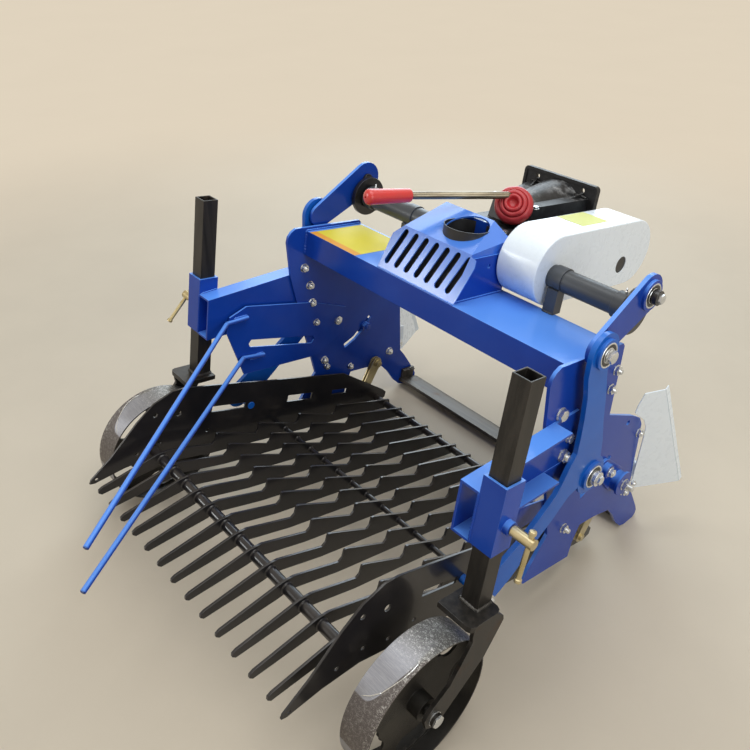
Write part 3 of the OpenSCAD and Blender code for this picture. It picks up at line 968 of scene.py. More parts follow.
@dataclass
class MainFrame:
    """Cross beam, side plates, rear panels, arms and sockets.

    Attributes:
        yard: The frame's solids.
        plate_in: X of the side plates' inner faces.
        beam: Y and Z limits of the beam.
        socket: X of the sockets' inner faces and their Y limits.
        socket_z: Foot and top of the bead at a socket's rear and at its front.
        outside: Bolts outside both plates: Y, Z, size, X of the face, thread that shows.
        inside: Nuts inside both plates, in the same order.
        left_only: Nuts inside the left plate alone.
        slot_nuts: Nuts of the adjusters' slots: place, size, thread that shows, turn.
        slot_head: Y and Z of the head inside a slot.
        guide_feet: Y, Z and reach of the guide rods' feet on the left plate.
        guide_x: X of the beads on those feet.
        guide_half: Half the height of a foot.
        label: X and Y limits of the label on the beam.
        band: Width of the label's plain band.
    """

    yard: Yard
    plate_in: float = 415.0
    beam: Point = (-83.0, 104.0, 652.0, 718.0)
    socket: Point = (467.0, -362.0, -310.0)
    socket_z: Point = (463.0, 568.0, 470.0, 574.0)
    outside: Rows = (
        (-80, 614, Fastener.M16, 423, 0), (-33, 546, Fastener.M12, 428, 0),
        (-55, 560, Fastener.M10, 428, 4), (-41, 506, Fastener.M16, 428, 6),
        (96, 621, Fastener.M12, 423, 6), (98, 666, Fastener.M12, 423, 6),
        (61, 268, Fastener.M12, 423, 9), (316, 267, Fastener.M12, 423, 6),
        (300, 444, Fastener.M12, 423, 4), (351, 279, Fastener.M10, 423, 4),
    )
    inside: Rows = (
        (-80, 614, Fastener.M12, 415, 7), (-55, 560, Fastener.M12, 415, 7),
        (-41, 506, Fastener.M12, 415, 7), (-22, 444, Fastener.M10, 410, 5),
        (134, 262, Fastener.M10, 415, 5), (292, 275, Fastener.M12, 415, 6),
    )
    left_only: Rows = ((27, 310, Fastener.M12, 415, 6), (40, 285, Fastener.M10, 415, 4))
    slot_nuts: Rows = (
        ((453, 238, 337), Fastener.M16, 13, 12), ((445, 165, 395), Fastener.M12, 3, 40),
    )
    slot_head: Point = (174.0, 388.0)
    guide_feet: Rows = ((-255, 508, -44), (-196, 387, -46))
    guide_x: float = -408.5
    guide_half: float = 5.5
    label: Point = (-401.0, -220.0, -83.0, 96.0)
    band: float = 22.0

    def build(self) -> None:
        """Dresses the solids and adds welds, bolts and the label."""
        self.yard.dress("cross_beam", Finish.BLUE, 1.2)
        for node in ("side_plate", "rear_panel", "wheel_arm", "post_socket", "adjuster"):
            for side in Side:
                self.yard.dress(f"{node}_{side.tag}", Finish.BLUE)
        self.bolts()
        self.welds()
        self.labels()

    def bolts(self) -> None:
        """Bolt heads outside and nuts inside both side plates."""
        forge = Forge()
        for way, rows in ((1, self.outside), (-1, self.inside)):
            for y, z, size, face, thread in rows:
                forge.bolt((face, y, z), (way, 0, 0), size, thread, spin=y * 1.7 + z)
        for place, size, thread, spin in self.slot_nuts:
            forge.bolt(place, (1, 0, 0), size, thread, spin=spin)
        forge.mirrored()
        for y, z, size, face, thread in self.left_only:
            forge.bolt((-face, y, z), (1, 0, 0), size, thread, spin=z)
        forge.emit("frame_bolts", "frame", Finish.BOLT)
        forge.bolt((self.plate_in, *self.slot_head), (-1, 0, 0), Fastener.M16, 3, spin=20)
        forge.mirrored()
        forge.emit("slot_bolts", "frame", Finish.BLUE)

    def welds(self) -> None:
        """Beads at the beam's ends, the sockets and the guide rods' feet."""
        y0, y1, z0, z1 = self.beam
        x = self.plate_in - 0.6
        inner, rear, front = self.socket
        rear_foot, rear_top, front_foot, front_top = self.socket_z
        forge = Forge()
        rows = (
            (3.2, ((x, y0, z0), (x, y0, z1), (x, y1, z1))),
            (3.0, ((x, y0, z0), (x, y1, z0))),
            (3.0, ((inner, front, front_foot), (inner, front, front_top))),
            (2.6, ((inner, rear, rear_foot), (inner, rear, rear_top))),
            (2.8, ((inner, rear + 4, rear_top), (inner, front, front_top))),
        )
        for seed, (radius, path) in enumerate(rows, 3):
            forge.bead(path, radius, seed)
        forge.mirrored()
        x = self.guide_x
        for seed, (y, z, reach) in enumerate(self.guide_feet, 20):
            for off in (self.guide_half, -self.guide_half):
                forge.bead([(x, y, z + off), (x, y + reach * 0.9, z - 3 + off)], 2.4, seed)
        forge.emit("frame_welds", "frame", Finish.BLUE)

    def labels(self) -> None:
        """The blank label on the beam, its plain band along the rear rim."""
        x0, x1, y0, y1 = self.label
        top, joint = self.beam[3] + 0.25, y0 + self.band
        forge = Forge()
        forge.sheet(
            (x0, x0 + 60, x1 - 50, x1), (joint, 0, 40, y1),
            lambda x, y: top + 0.25 * math.sin(x * 0.05 + y * 0.03),
        )
        forge.emit("beam_label", "frame", Finish.YELLOW)
        forge.sheet((x0, x1), (y0, joint), lambda x, y: top)
        forge.emit("beam_label_band", "frame", Finish.ORANGE)


@dataclass
class GaugeWheels:
    """Posts, forks, wheels and their clamp screws.

    Attributes:
        yard: The frame's solids.
        post: X, Y and foot of the posts.
        post_half: Half a post's width at its weld.
        leg_weld: X, Y limits and Z of the bead on a fork's leg.
        axle: Y and Z of the axle.
        axle_seat: X of the axle bolt's head.
        wheel_x: X of the wheels' middles.
        wheel_r: Their radius.
        hub_cap: Profile of the cap inside a hub.
        hub_depth: How far the cap lies inside the wheel's middle.
        clamp: X, Y and Z of the clamp bars' middles.
        clamp_turn: How far each bar leans, in degrees.
        knob_at: Places of the knobs along a bar, each with its way.
        knob: Profile of a knob.
        collar_x: X of the collar on a clamp screw.
        collar: Its profile.
        seam_at: The weld across a wheel's band: X from its middle and angle in degrees.
    """

    yard: Yard
    post: Point = (493.0, -336.0, 330.0)
    post_half: float = 20.5
    leg_weld: Point = (530.5, -384.0, -318.0, 317.5)
    axle: Point = (-452.0, 150.1)
    axle_seat: float = 538.2
    wheel_x: float = 487.0
    wheel_r: float = 150.0
    hub_cap: Rows = ((12, 0), (26, 0.5), (26, 3), (24, 4), (12, 4))
    hub_depth: float = 31.5
    clamp: Point = (569.0, -336.0, 520.0)
    clamp_turn: dict[Side, float] = field(default_factory=lambda: {Side.LEFT: -38.0, Side.RIGHT: -5.0})
    knob_at: Rows = ((22, 1), (-82, -1))
    knob: Rows = ((5.2, -7), (6.8, -5.5), (7.2, -2), (6.4, 1), (3, 2.4))
    collar_x: float = 575.0
    collar: Rows = ((8.3, 0), (10.9, 0.6), (10.9, 3.4), (8.3, 4))
    seam_at: Rows = (
        (-19, 148), (-4, 144), (10, 137.5), (19, 129), (25, 122), (27.5, 114), (26.5, 108),
    )

    def build(self) -> None:
        """Dresses the solids and adds welds, hubs and bolts."""
        for side in Side:
            for node, finish, rim in (
                ("post", Finish.POST, 1.2), ("wheel_fork", Finish.POST, 1.0),
                ("wheel", Finish.BAND, 0.8), ("clamp_screw", Finish.ZINC, 0.5),
            ):
                self.yard.dress(f"{node}_{side.tag}", finish, rim)
            self.fork(side)
            self.axle_bolt(side)
            self.clamps(side)
            self.seam(side)

    def fork(self, side: Side) -> None:
        """Beads round a post's foot and on its fork's leg.

        Args:
            side: Which side.
        """
        s, (px, py, pz), half = side.value, self.post, self.post_half
        x, y0, y1, z = self.leg_weld
        corners = ((-1, -1), (1, -1), (1, 1), (-1, 1))
        forge = Forge()
        square = [(s * (px + a * half), py + b * half, pz + 0.8) for a, b in corners]
        forge.bead(square, 3.4, 30, closed=True)
        forge.bead([(s * x, y0, z), (s * x, y1, z)], 2.6, 31)
        forge.emit(f"fork_welds_{side.tag}", f"post_{side.tag}", Finish.WELD)

    def axle_bolt(self, side: Side) -> None:
        """The axle's bolt head on the leg and the cap inside the wheel.

        Args:
            side: Which side.
        """
        s = side.value
        forge = Forge()
        forge.bolt((s * self.axle_seat, *self.axle), (s, 0, 0), Fastener.M16, spin=8)
        forge.emit(f"axle_bolt_{side.tag}", f"post_{side.tag}", Finish.BOLT)
        forge.lathe(self.hub_cap, (s * (self.wheel_x - self.hub_depth), *self.axle), (-s, 0, 0))
        forge.emit(f"hub_cap_{side.tag}", f"wheel_{side.tag}", Finish.SHAFT)

    def clamps(self, side: Side) -> None:
        """Knobs on the ends of a clamp bar and the collar on its screw.

        Args:
            side: Which side.
        """
        s, (x, y, z) = side.value, self.clamp
        tilt = math.radians(self.clamp_turn[side])
        along = Vector((0, -math.sin(tilt), math.cos(tilt)))
        forge = Forge()
        for reach, way in self.knob_at:
            forge.lathe(self.knob, Vector((s * x, y, z)) + along * reach, along * way, 24)
        forge.lathe(self.collar, (s * self.collar_x, y, z), (s, 0, 0), 28)
        forge.emit(f"clamp_knobs_{side.tag}", "frame", Finish.ZINC)

    def seam(self, side: Side) -> None:
        """The ground-down weld across a wheel's band.

        Args:
            side: Which side.
        """
        path = []
        for x, turn in self.seam_at:
            y, z = (self.wheel_r * f(math.radians(turn)) for f in (math.cos, math.sin))
            path.append((side.value * (self.wheel_x + x), self.axle[0] + y, self.axle[1] + z))
        forge = Forge()
        forge.bead(path, 1.2, 40)
        forge.emit(f"band_seam_{side.tag}", f"wheel_{side.tag}", Finish.BOLT)


@dataclass
class Sieve:
    """The shaking sieve: toothed bars, sides and cross tubes.

    Attributes:
        yard: The frame's solids.
        bars: How many bars it has.
        pitch: Their distance from one to the next.
        rods: Y, Z and radius of the cross tubes.
        half_bar: Half a bar's thickness.
    """

    yard: Yard
    bars: int = 13
    pitch: float = 57.3
    rods: Rows = ((-522, 206, 13), (-150, 172, 7), (236, 136, 10))
    half_bar: float = 3.0

    def build(self) -> None:
        """Dresses the solids and adds the bars' welds."""
        for node in ("sieve_bars", "sieve_sides", "sieve_rods"):
            self.yard.dress(node, Finish.BLACK, 0.7)
        self.welds()

    def welds(self) -> None:
        """A ring of weld where each bar crosses a tube."""
        forge = Forge()
        for y, z, r in self.rods:
            ring = [(r + 0.4, 0), (r + 2.2, 0.2), (r + 1.4, 1.8), (r + 0.2, 3)]
            for k in range(self.bars):
                x = (k - (self.bars - 1) / 2) * self.pitch
                for s in (-1, 1):
                    forge.lathe(ring, (x + s * self.half_bar, y, z), (s, 0, 0), 14)
        forge.emit("sieve_welds", "sieve", Finish.BLACK)


@dataclass
class ShakerDrive:
    """Shaft housing, crank discs, rods, rockers and hangers.

    Attributes:
        yard: The frame's solids.
        shaft: Y and Z of the eccentric shaft.
        crank: Y and Z of the crank pins.
        rocker_top: Y and Z of the rockers' upper pins.
        rocker_pivot: Y and Z of the rockers' pivots.
        sieve_pin: Y and Z of the rockers' pins in the sieve.
        hanger_top: Y and Z of the hangers' upper pins.
        hanger_foot: Y and Z of their lower pins.
        rocker_face: X of the rockers' bearing rings.
        conrod_face: X of the connecting rods' bearing rings.
        races: Inner and outer radii of a bearing's two races.
        seal: Profile of the seal between them.
        seats: X of the bolts' seats, by the pin that they are on.
        housing_leg: X and Y limits and Z of the beads at the housing's legs.
        housing_ring: X and radius of the bead round the housing.
        nipple: Profile of a grease nipple.
        nipple_at: X of the nipples and their height over the shaft.
        looks: Finish of each solid.
    """

    yard: Yard
    shaft: Point = (118.0, 794.0)
    crank: Point = (118.0, 839.0)
    rocker_top: Point = (-27.0, 748.0)
    rocker_pivot: Point = (57.0, 434.0)
    sieve_pin: Point = (-240.0, 252.0)
    hanger_top: Point = (229.0, 256.0)
    hanger_foot: Point = (192.0, 170.0)
    rocker_face: float = 461.0
    conrod_face: float = 445.5
    races: Rows = ((23.5, 27.0), (12.4, 16.5))
    seal: Rows = ((12.5, -2), (16.5, 0.5), (23.5, 0.5), (27, -2))
    seats: dict[str, float] = field(
        default_factory=lambda: {
            "rocker_top": 462.2, "sieve_pin": 454.2, "pivot_head": 474.0, "pivot_nut": 415.0,
            "crank": 460.5, "hanger_top": 391.5, "hanger_foot": 409.0,
        }
    )
    housing_leg: Point = (219.0, 248.0, 92.0, 118.0, 720.0)
    housing_ring: Point = (375.0, 27.5)
    nipple: Rows = ((3.2, 0), (3.2, 3), (2.2, 4), (2.2, 7), (2.8, 8), (1.2, 10))
    nipple_at: Point = (388.0, 29.5)
    looks: dict[str, Finish] = field(
        default_factory=lambda: {
            "shaft_housing": Finish.SATIN, "eccentric_shaft": Finish.SHAFT,
            "crank_discs": Finish.BLACK, "rocker_pivots": Finish.BOLT, "hanger_pivots": Finish.ZINC,
            "conrod_left": Finish.BLUE, "conrod_right": Finish.BLUE,
            "rocker_left": Finish.ROCKER_BLUE, "rocker_right": Finish.ROCKER_BLUE,
            "hanger_left": Finish.ZINC, "hanger_right": Finish.ZINC,
        }
    )

    def build(self) -> None:
        """Dresses the solids and adds bearings, bolts and welds."""
        for node, finish in self.looks.items():
            self.yard.dress(node, finish)
        for side in Side:
            self.bearing(side, self.rocker_top, self.rocker_face, f"rocker_{side.tag}", "top")
            self.bearing(side, self.rocker_pivot, self.rocker_face, f"rocker_{side.tag}", "pivot")
            self.bearing(side, self.crank, self.conrod_face, f"conrod_{side.tag}", "crank")
            self.heads(side)
        self.housing()

    def bearing(self, side: Side, at: Point, face: float, body: str, word: str) -> None:
        """A sealed bearing in its ring: dark seal between two bright races.

        Args:
            side: Which side.
            at: The bearing's Y and Z.
            face: X of the ring's outer face.
            body: The body that holds it.
            word: The word in its name.
        """
        s = side.value
        place = (s * face, *at)
        forge = Forge()
        for inner, outer in self.races:
            race = [(inner, -2), (inner, 0.6), (inner + 0.6, 1.2)]
            race += [(outer - 0.6, 1.2), (outer, 0.6), (outer, -2)]
            forge.lathe(race, place, (s, 0, 0), 40)
        forge.emit(f"{word}_races_{side.tag}", body, Finish.BOLT)
        forge.lathe(self.seal, place, (s, 0, 0), 40)
        forge.emit(f"{word}_seal_{side.tag}", body, Finish.SEAL)

    def heads(self, side: Side) -> None:
        """Bolts at the crank, the rocker's pins and the hanger's pins.

        Args:
            side: Which side.
        """
        s, tag = side.value, side.tag
        out, back = (s, 0, 0), (-s, 0, 0)
        seat = {pin: s * x for pin, x in self.seats.items()}
        m16, m12 = Fastener.M16, Fastener.M12
        forge = Forge()
        forge.bolt((seat["rocker_top"], *self.rocker_top), out, m16, spin=10)
        forge.bolt((seat["sieve_pin"], *self.sieve_pin), out, m16, 7, spin=20)
        forge.emit(f"rocker_bolts_{tag}", f"rocker_{tag}", Finish.BOLT)
        forge.bolt((seat["pivot_head"], *self.rocker_pivot), out, m12, washer=False, spin=5)
        forge.bolt((seat["pivot_nut"], *self.rocker_pivot), back, m16, 5, spin=25)
        forge.emit(f"pivot_bolts_{tag}", "frame", Finish.BOLT)
        forge.bolt((seat["crank"], *self.crank), out, m12, washer=False, spin=15)
        forge.emit(f"crank_bolt_{tag}", "eccentric", Finish.BOLT)
        forge.bolt((seat["hanger_top"], *self.hanger_top), back, m12, washer=False, spin=25)
        forge.emit(f"hanger_nut_{tag}", "frame", Finish.ZINC)
        foot = (seat["hanger_foot"], *self.hanger_foot)
        forge.bolt(foot, out, Fastener.M10, washer=False, spin=25)
        forge.emit(f"hanger_foot_bolt_{tag}", f"hanger_{tag}", Finish.ZINC)

    def housing(self) -> None:
        """Beads at the housing's legs and rings, and its grease nipples."""
        y, z = self.shaft
        x0, x1, y0, y1, foot = self.housing_leg
        forge = Forge()
        forge.bead([(x0, y0, foot), (x1, y0, foot)], 2.6, 50)
        forge.bead([(x0, y1, foot - 0.5), (x0, y0, foot - 0.5)], 2.6, 51)
        ring_x, ring_r = self.housing_ring
        forge.bead(circle(Vector((ring_x, y, z)), Y_AXIS, Z_AXIS, ring_r, 24), 2.0, 52, closed=True)
        forge.mirrored()
        forge.emit("housing_welds", "frame", Finish.SATIN)
        nipple_x, nipple_up = self.nipple_at
        for x in (nipple_x, -nipple_x):
            forge.lathe(self.nipple, (x, y, z + nipple_up), (0, 0, 1), 12)
        forge.emit("grease_nipples", "frame", Finish.BOLT)


@dataclass
class Gearbox:
    """Gearbox, hood, belt guard and the lever in its boot.

    Attributes:
        yard: The frame's solids.
        looks: Finish and edge radius of each solid.
        middle: X of the gearbox's middle.
        flange_z: Z of the hitch flange's middle.
        guard: Y of the guard's two round ends, and their Z.
        guard_r: Radius of those ends.
        guard_x: X limits of the guard.
        guard_rims: Radius of the shell's inner and outer rims, and the angles of their points.
        peep: Y, Z and radius of the guard's peep hole.
        pocket: Profile of the black cup of painted shade behind the hole, from the guard's outer face.
        sticker: X and Y limits of the label on the guard.
        boot_at: Middle of the boot's foot.
        boot_turn: How far the boot leans, and which way, in degrees.
        folds: Profile of the boot's folds, pushed together.
        lever: The rod's foot, the grip's foot and the grip's end.
        elbow: The bent foot of the lever, as steps along the rod and into the boot.
        elbow_r: Its radius.
        grip_foot: Profile of the grip's foot.
        grip_r: Radius of the grip at its middle and at its end.
        grip_dome: Length of its rounded end.
        grip_plug: Profile of the plug hole.
        lip: Y and Z of the lip on the bell's rim.
        lip_x: X limits of its two stretches.
        gussets: X, rear Y and lean of the gussets under the lip.
        gusset_rim: Y, lower Z and upper Z of their front ends.
        gusset_half: Half a gusset's thickness.
        shoulder: A point on the bell's roof, as Y and Z, and how far it rises per millimetre.
        ribs: Angles of the bell's ribs in degrees.
        rib: A rib's corners: radius from the bell's middle, and Y.
        rib_half: Half a rib's thickness.
        cover_bolts: Stations of the cover's bolts across and along, and their Z.
        ear_bolts: Place and turn of the bolts on the bell's shoulders.
        rear_bolts: X from the middle of the bolts at the rear, their Y and Z.
        oil_plug: The plug's place, X from the middle.
        hood_wall: Outline of the hood's inner wall in X and Z.
        hood_wall_y: Its Y limits.
        hood_floor: Corners of the black sheet of painted shade on the floor of the hood, in X and Y.
        hood_floor_z: Its Z limits.
        hood_rise: Slope of the louvred face in degrees.
        hood_foot: A point on the foot of that face.
        louvre_back: Corners of the black panel of painted shade behind the louvres, on the slope.
        louvre_back_lift: Its limits across the slope.
        louvre_flange: Corners of the flange beside the louvres, on the slope.
        louvre_flange_lift: Its limits across the slope.
        hood_pipe: Foot of the black tube of painted shade under the hood's hole.
        pipe: Profile of that tube.
        hood_beads: Radius and ends of the beads along the hood's foot.
    """

    yard: Yard
    looks: Rows = (
        ("gearbox_housing", Finish.DUSTY_CAST, 3.0), ("hitch_flange", Finish.CAST, 2.5),
        ("gearbox_hood", Finish.HOOD_BLUE, 0.8), ("hood_bracket", Finish.BLUE, 0.8),
        ("lever_rod", Finish.ROD, 0.8),
    )
    middle: float = -40.0
    flange_z: float = 837.0
    guard: Point = (132.0, 445.0, 802.0)
    guard_r: float = 83.0
    guard_x: Point = (103.0, 210.0)
    guard_rims: Rows = ((4.0, (0, 30, 60, 90)), (3.0, (90, 70, 50, 30, 15, 0)))
    peep: Point = (408.0, 775.0, 22.0)
    pocket: Rows = (
        (22.8, -2.3), (30, -2.6), (30, -44), (18, -46), (12, -40), (6, -40), (5, -34), (2, -33),
    )
    sticker: Point = (108.0, 182.0, 240.0, 348.0)
    boot_at: Point = (-8.0, 226.0, 876.0)
    boot_turn: Point = (60.0, 27.0)
    folds: Rows = (
        (40, 0.4), (44.5, 0.4), (46.6, 2.5), (47.4, 8), (47.2, 14), (45.5, 19.5), (42, 24), (38, 26.5),
        (35.2, 26.2), (33.6, 24), (33.4, 25.5), (33.8, 28.5), (32.6, 31.5), (29.5, 33.6), (26, 34),
        (23.6, 32.6), (22.4, 29.5), (22.2, 31.5), (22.0, 35), (20.2, 37.6), (17, 38.4), (14.2, 37.0),
        (12.4, 33), (10.8, 28.5), (7, 26.5), (2, 26),
    )
    lever: Rows = ((-14, 200, 905), (-132, -14, 889.5), (-155, -134, 889))
    elbow: Rows = ((-14, 0), (-6, 0), (-1, 0.6), (2.5, 3), (4.5, 7), (5, 12), (5, 20))
    elbow_r: float = 8.9
    grip_foot: Rows = ((9.5, 0.2), (13, 0.2), (15.2, 1.0), (16.2, 3), (16.6, 8))
    grip_r: Point = (17.4, 18.6)
    grip_dome: float = 12.0
    grip_plug: Rows = ((2.6, -1.5), (2.6, 0.25), (1.5, 0.3))
    lip: Point = (441.0, 893.5)
    lip_x: Rows = ((-124, -84), (-74, 50))
    gussets: Rows = ((-100, 404, -10), (22, 398, 14))
    gusset_rim: Point = (443.0, 890.0, 903.0)
    gusset_half: float = 2.5
    shoulder: Point = (236.0, 872.0, 0.0995)
    ribs: Point = (195, 230, 262, 290, 322, 350)
    rib: Rows = ((56, 320), (80, 443), (92, 443))
    rib_half: float = 3.0
    cover_bolts: Rows = ((-66, 0, 66), (160, 380), (828,))
    ear_bolts: Rows = (((26, 268, 876.5), 8), ((-104, 268, 875), 20))
    rear_bolts: Rows = ((-40, 40), (104, 690))
    oil_plug: Point = (-75.0, 300.0, 760.0)
    hood_wall: Rows = ((-137, 719), (-137, 842), (-115, 861), (48, 861), (92, 840), (92, 719))
    hood_wall_y: Point = (88.0, 90.0)
    hood_floor: Rows = ((-136, -66), (91, -66), (91, 88), (-136, 88))
    hood_floor_z: Point = (719.0, 722.0)
    hood_rise: float = 66.05
    hood_foot: Point = (0.0, -80.0, 718.2)
    louvre_back: Rows = ((-128, 8), (88, 8), (88, 116), (-128, 116))
    louvre_back_lift: Point = (-16.0, -12.0)
    louvre_flange: Rows = ((95, 1), (107, 1), (117, 92), (112, 108), (95, 112))
    louvre_flange_lift: Point = (-3.0, -0.1)
    hood_pipe: Point = (11.0, 38.0, 721.0)
    pipe: Rows = ((52.5, 0), (52.5, 134), (54, 134), (54, 0))
    hood_beads: Rows = (
        (2.2, ((-141, -80, 718.6), (108, -80.5, 718.6))),
        (3.0, ((100.5, -70, 719), (101, 92, 719))),
        (2.6, ((-141, -74, 719), (-141, 90, 719))),
    )

    def build(self) -> None:
        """Dresses the solids and adds the modelled boot, grip and guard."""
        for node, finish, rim in self.looks:
            self.yard.dress(node, finish, rim)
        self.boot()
        self.grip()
        self.belt_guard()
        self.guard_details()
        self.casting()
        self.casting_bolts()
        self.hood()

    def boot(self) -> None:
        """The bellows boot, its folds pushed together round the bent foot of the lever."""
        tilt, swing = (math.radians(a) for a in self.boot_turn)
        axis = Matrix.Rotation(swing, 3, "Z") @ Matrix.Rotation(tilt, 3, "X") @ Z_AXIS
        forge = Forge()
        forge.lathe(self.folds, self.boot_at, axis, 72)
        rng = random.Random(11)
        for v in forge.bm.verts:
            away = v.co - Vector(self.boot_at)
            wave = 0.5 * math.sin(away.x * 0.21 + away.z * 0.17)
            v.co += away.normalized() * (wave + rng.uniform(-0.06, 0.06))
        made = forge.emit("lever_bellows", "frame", Finish.BOOT, sharp=75)
        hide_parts("lever_boot")
        foot, grip = Vector(self.lever[0]), Vector(self.lever[1])
        ahead = (foot - grip).normalized()
        bends = [foot + ahead * forward - axis * sunk for forward, sunk in self.elbow]
        forge.tube(bends, self.elbow_r, 24)
        forge.emit("lever_elbow", "frame", Finish.ROD)

    def grip(self) -> None:
        """The lever's moulded grip: a slight taper, a rounded end and the plug hole in it."""
        _, foot, end = (Vector(p) for p in self.lever)
        axis, length = (end - foot).normalized(), (end - foot).length
        (waist, wide), dome = self.grip_r, self.grip_dome
        profile = [*self.grip_foot, (waist, length * 0.5), (wide, length - 14)]
        for a in (math.radians(k) for k in (15, 30, 45, 60, 75)):
            profile.append((wide * math.cos(a) ** 0.8 + 0.01, length - dome + dome * math.sin(a)))
        profile += [(3.0, length), (2.6, length - 1), (2.4, length - 7)]
        forge = Forge()
        forge.lathe(profile, foot, axis, 48)
        made = forge.emit("lever_handle", "frame", Finish.GRIP, sharp=50)
        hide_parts("lever_grip")
        forge.lathe([(2.5, -0.2), (2.2, 0.2)], foot + axis * (length - 6), axis, 20)
        side = axis.cross(Z_AXIS).normalized()
        spot = (side * 0.62 + Z_AXIS * 0.78).normalized()
        forge.lathe(self.grip_plug, foot + axis * (length - 15) + spot * (wide - 0.5), spot, 20)
        forge.emit("grip_hole", "frame", Finish.SEAL)

    def outline(self, radius: float, x: float) -> list[Vector]:
        """The guard's outline with round ends.

        Args:
            radius: Radius of the ends.
            x: X of every point.

        Returns:
            The points in order.
        """
        y0, y1, z = self.guard
        points = []
        for centre, start in ((y1, -90), (y0, 90)):
            for k in range(25):
                a = math.radians(start + 180 * k / 24)
                points.append(Vector((x, centre + radius * math.cos(a), z + radius * math.sin(a))))
        return points

    def belt_guard(self) -> None:
        """The guard's pressed shell with soft corners and a peep hole."""
        x1 = self.guard_x[1]
        rings = []
        for x, way, (soft, angles) in zip(self.guard_x, (1, -1), self.guard_rims):
            for a in (math.radians(k) for k in angles):
                radius = self.guard_r - soft + soft * math.sin(a)
                rings.append(self.outline(radius, x + way * soft * (1 - math.cos(a))))
        forge = Forge()
        forge.skin(rings, caps=False)
        bm = forge.bm
        bm.faces.new(bm.verts[: len(rings[0])][::-1])
        y, z, r = self.peep
        levels = ((r, x1), (r - 0.5, x1 - 0.5), (r - 0.5, x1 - 2), (r + 1, x1 - 2.2))
        rim = [circle(Vector((x, y, z)), Y_AXIS, Z_AXIS, radius, 36) for radius, x in levels]
        before = len(bm.verts)
        forge.skin(rim, caps=False)
        bm.verts.ensure_lookup_table()
        outer = bm.verts[before - len(rings[-1]) : before]
        inner = bm.verts[before : before + len(rim[0])]
        edges = []
        for loop in (outer, inner):
            for pair in zip(loop, loop[1:] + loop[:1]):
                edges.append(bm.edges.get(pair) or bm.edges.new(pair))
        bmesh.ops.triangle_fill(bm, use_beauty=True, use_dissolve=False, edges=edges)
        made = forge.emit("guard_shell", "frame", Finish.WHITE, sharp=50)
        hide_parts("belt_guard")

    def guard_details(self) -> None:
        """A black cup of painted shade behind the guard's peep hole, and the blank label on its top.
        """
        forge = Forge()
        # painted shade: a black cup where the inside of the guard lies in shadow
        forge.lathe(self.pocket, (self.guard_x[1], *self.peep[:2]), (1, 0, 0), 40)
        forge.emit("guard_inside", "frame", Finish.SEAL)
        x0, x1, y0, y1 = self.sticker
        top = self.guard[2] + self.guard_r + 0.3
        forge.sheet(
            (x0, (2 * x0 + x1) / 3, (x0 + 2 * x1) / 3, x1), (y0, (y0 + y1) / 2, y1),
            lambda x, y: top + 0.12 * math.sin(x * 0.2 + y * 0.11),
        )
        forge.emit("guard_label", "frame", Finish.LIME)

    def casting(self) -> None:
        """Lip, gussets and ribs of the bell."""
        y, z = self.lip
        forge = Forge()
        for x0, x1 in self.lip_x:
            path = [(x0, y, z), (x0 + 4, y, z + 2), (x1 - 4, y, z + 2), (x1, y, z)]
            forge.tube(path, 3.2, 14)
        rim_y, low, high = self.gusset_rim
        shoulder_y, shoulder_z, slope = self.shoulder
        half = self.gusset_half
        for x, rear, lean in self.gussets:
            foot = shoulder_z + (rear - shoulder_y) * slope - 2
            corners = ((x, rear, foot), (x + lean, rim_y, low), (x + lean, rim_y, high))
            forge.skin([[Vector(p) + X_AXIS * off for p in corners] for off in (-half, half)])
        middle = Vector((self.middle, 0, self.flange_z))
        for t in (math.radians(a) for a in self.ribs):
            out = Vector((math.cos(t), 0, math.sin(t)))
            side = Vector((-math.sin(t), 0, math.cos(t))) * self.rib_half
            corners = [middle + out * r + Y_AXIS * y for r, y in self.rib]
            forge.skin([[p + side * way for p in corners] for way in (-1, 1)])
        forge.emit("bell_ribs", "frame", Finish.DUSTY_CAST)

    def casting_bolts(self) -> None:
        """Cover bolts and oil plug of the gearbox."""
        across, along, (top,) = self.cover_bolts
        forge = Forge()
        for x in across:
            for y in along:
                forge.bolt((self.middle + x, y, top), (0, 0, 1), Fastener.M8, spin=x + y)
        for place, spin in self.ear_bolts:
            forge.bolt(place, (0, -0.1, 1), Fastener.M8, spin=spin)
        offsets, rear = self.rear_bolts
        for x in offsets:
            forge.bolt((self.middle + x, *rear), (0, -1, 0), Fastener.M10, spin=x)
        forge.emit("casting_bolts", "frame", Finish.BOLT)
        x, y, z = self.oil_plug
        forge.lathe([(14, 0), (14, 3), (12, 4)], (self.middle + x, y, z), (-1, 0, 0), 28)
        forge.emit("oil_plug", "frame", Finish.CAST)

    def hood(self) -> None:
        """The hood's inner wall, black sheets and a black tube of painted shade inside it, the flange
        beside its louvres and the welds along its foot.
        """
        rise, foot = math.radians(self.hood_rise), Vector(self.hood_foot)
        up = Vector((0, math.cos(rise), math.sin(rise)))
        out = Vector((0, -math.sin(rise), math.cos(rise)))

        def on_slope(x: float, height: float, lift: float) -> Vector:
            """A point on the louvred face, or beside it by the lift."""
            return foot + X_AXIS * x + up * height + out * lift

        forge = Forge()
        forge.slab(self.hood_wall, self.hood_wall_y, lambda x, z, y: (x, y, z))
        forge.emit("hood_wall", "frame", Finish.BLUE)
        # painted shade: black sheets on the hood's floor and behind its louvres, and a black tube
        # under its hole, where the inside lies in shadow
        forge.slab(self.hood_floor, self.hood_floor_z, lambda x, y, z: (x, y, z))
        forge.slab(self.louvre_back, self.louvre_back_lift, on_slope)
        forge.lathe(self.pipe, self.hood_pipe, (0, 0, 1), 40, caps=False)
        forge.emit("hood_inside", "frame", Finish.SEAL)
        forge.slab(self.louvre_flange, self.louvre_flange_lift, on_slope)
        forge.emit("louvre_flange", "frame", Finish.HOOD_BLUE)
        for seed, (radius, path) in enumerate(self.hood_beads, 70):
            forge.bead(path, radius, seed)
        forge.emit("hood_welds", "frame", Finish.BLUE)


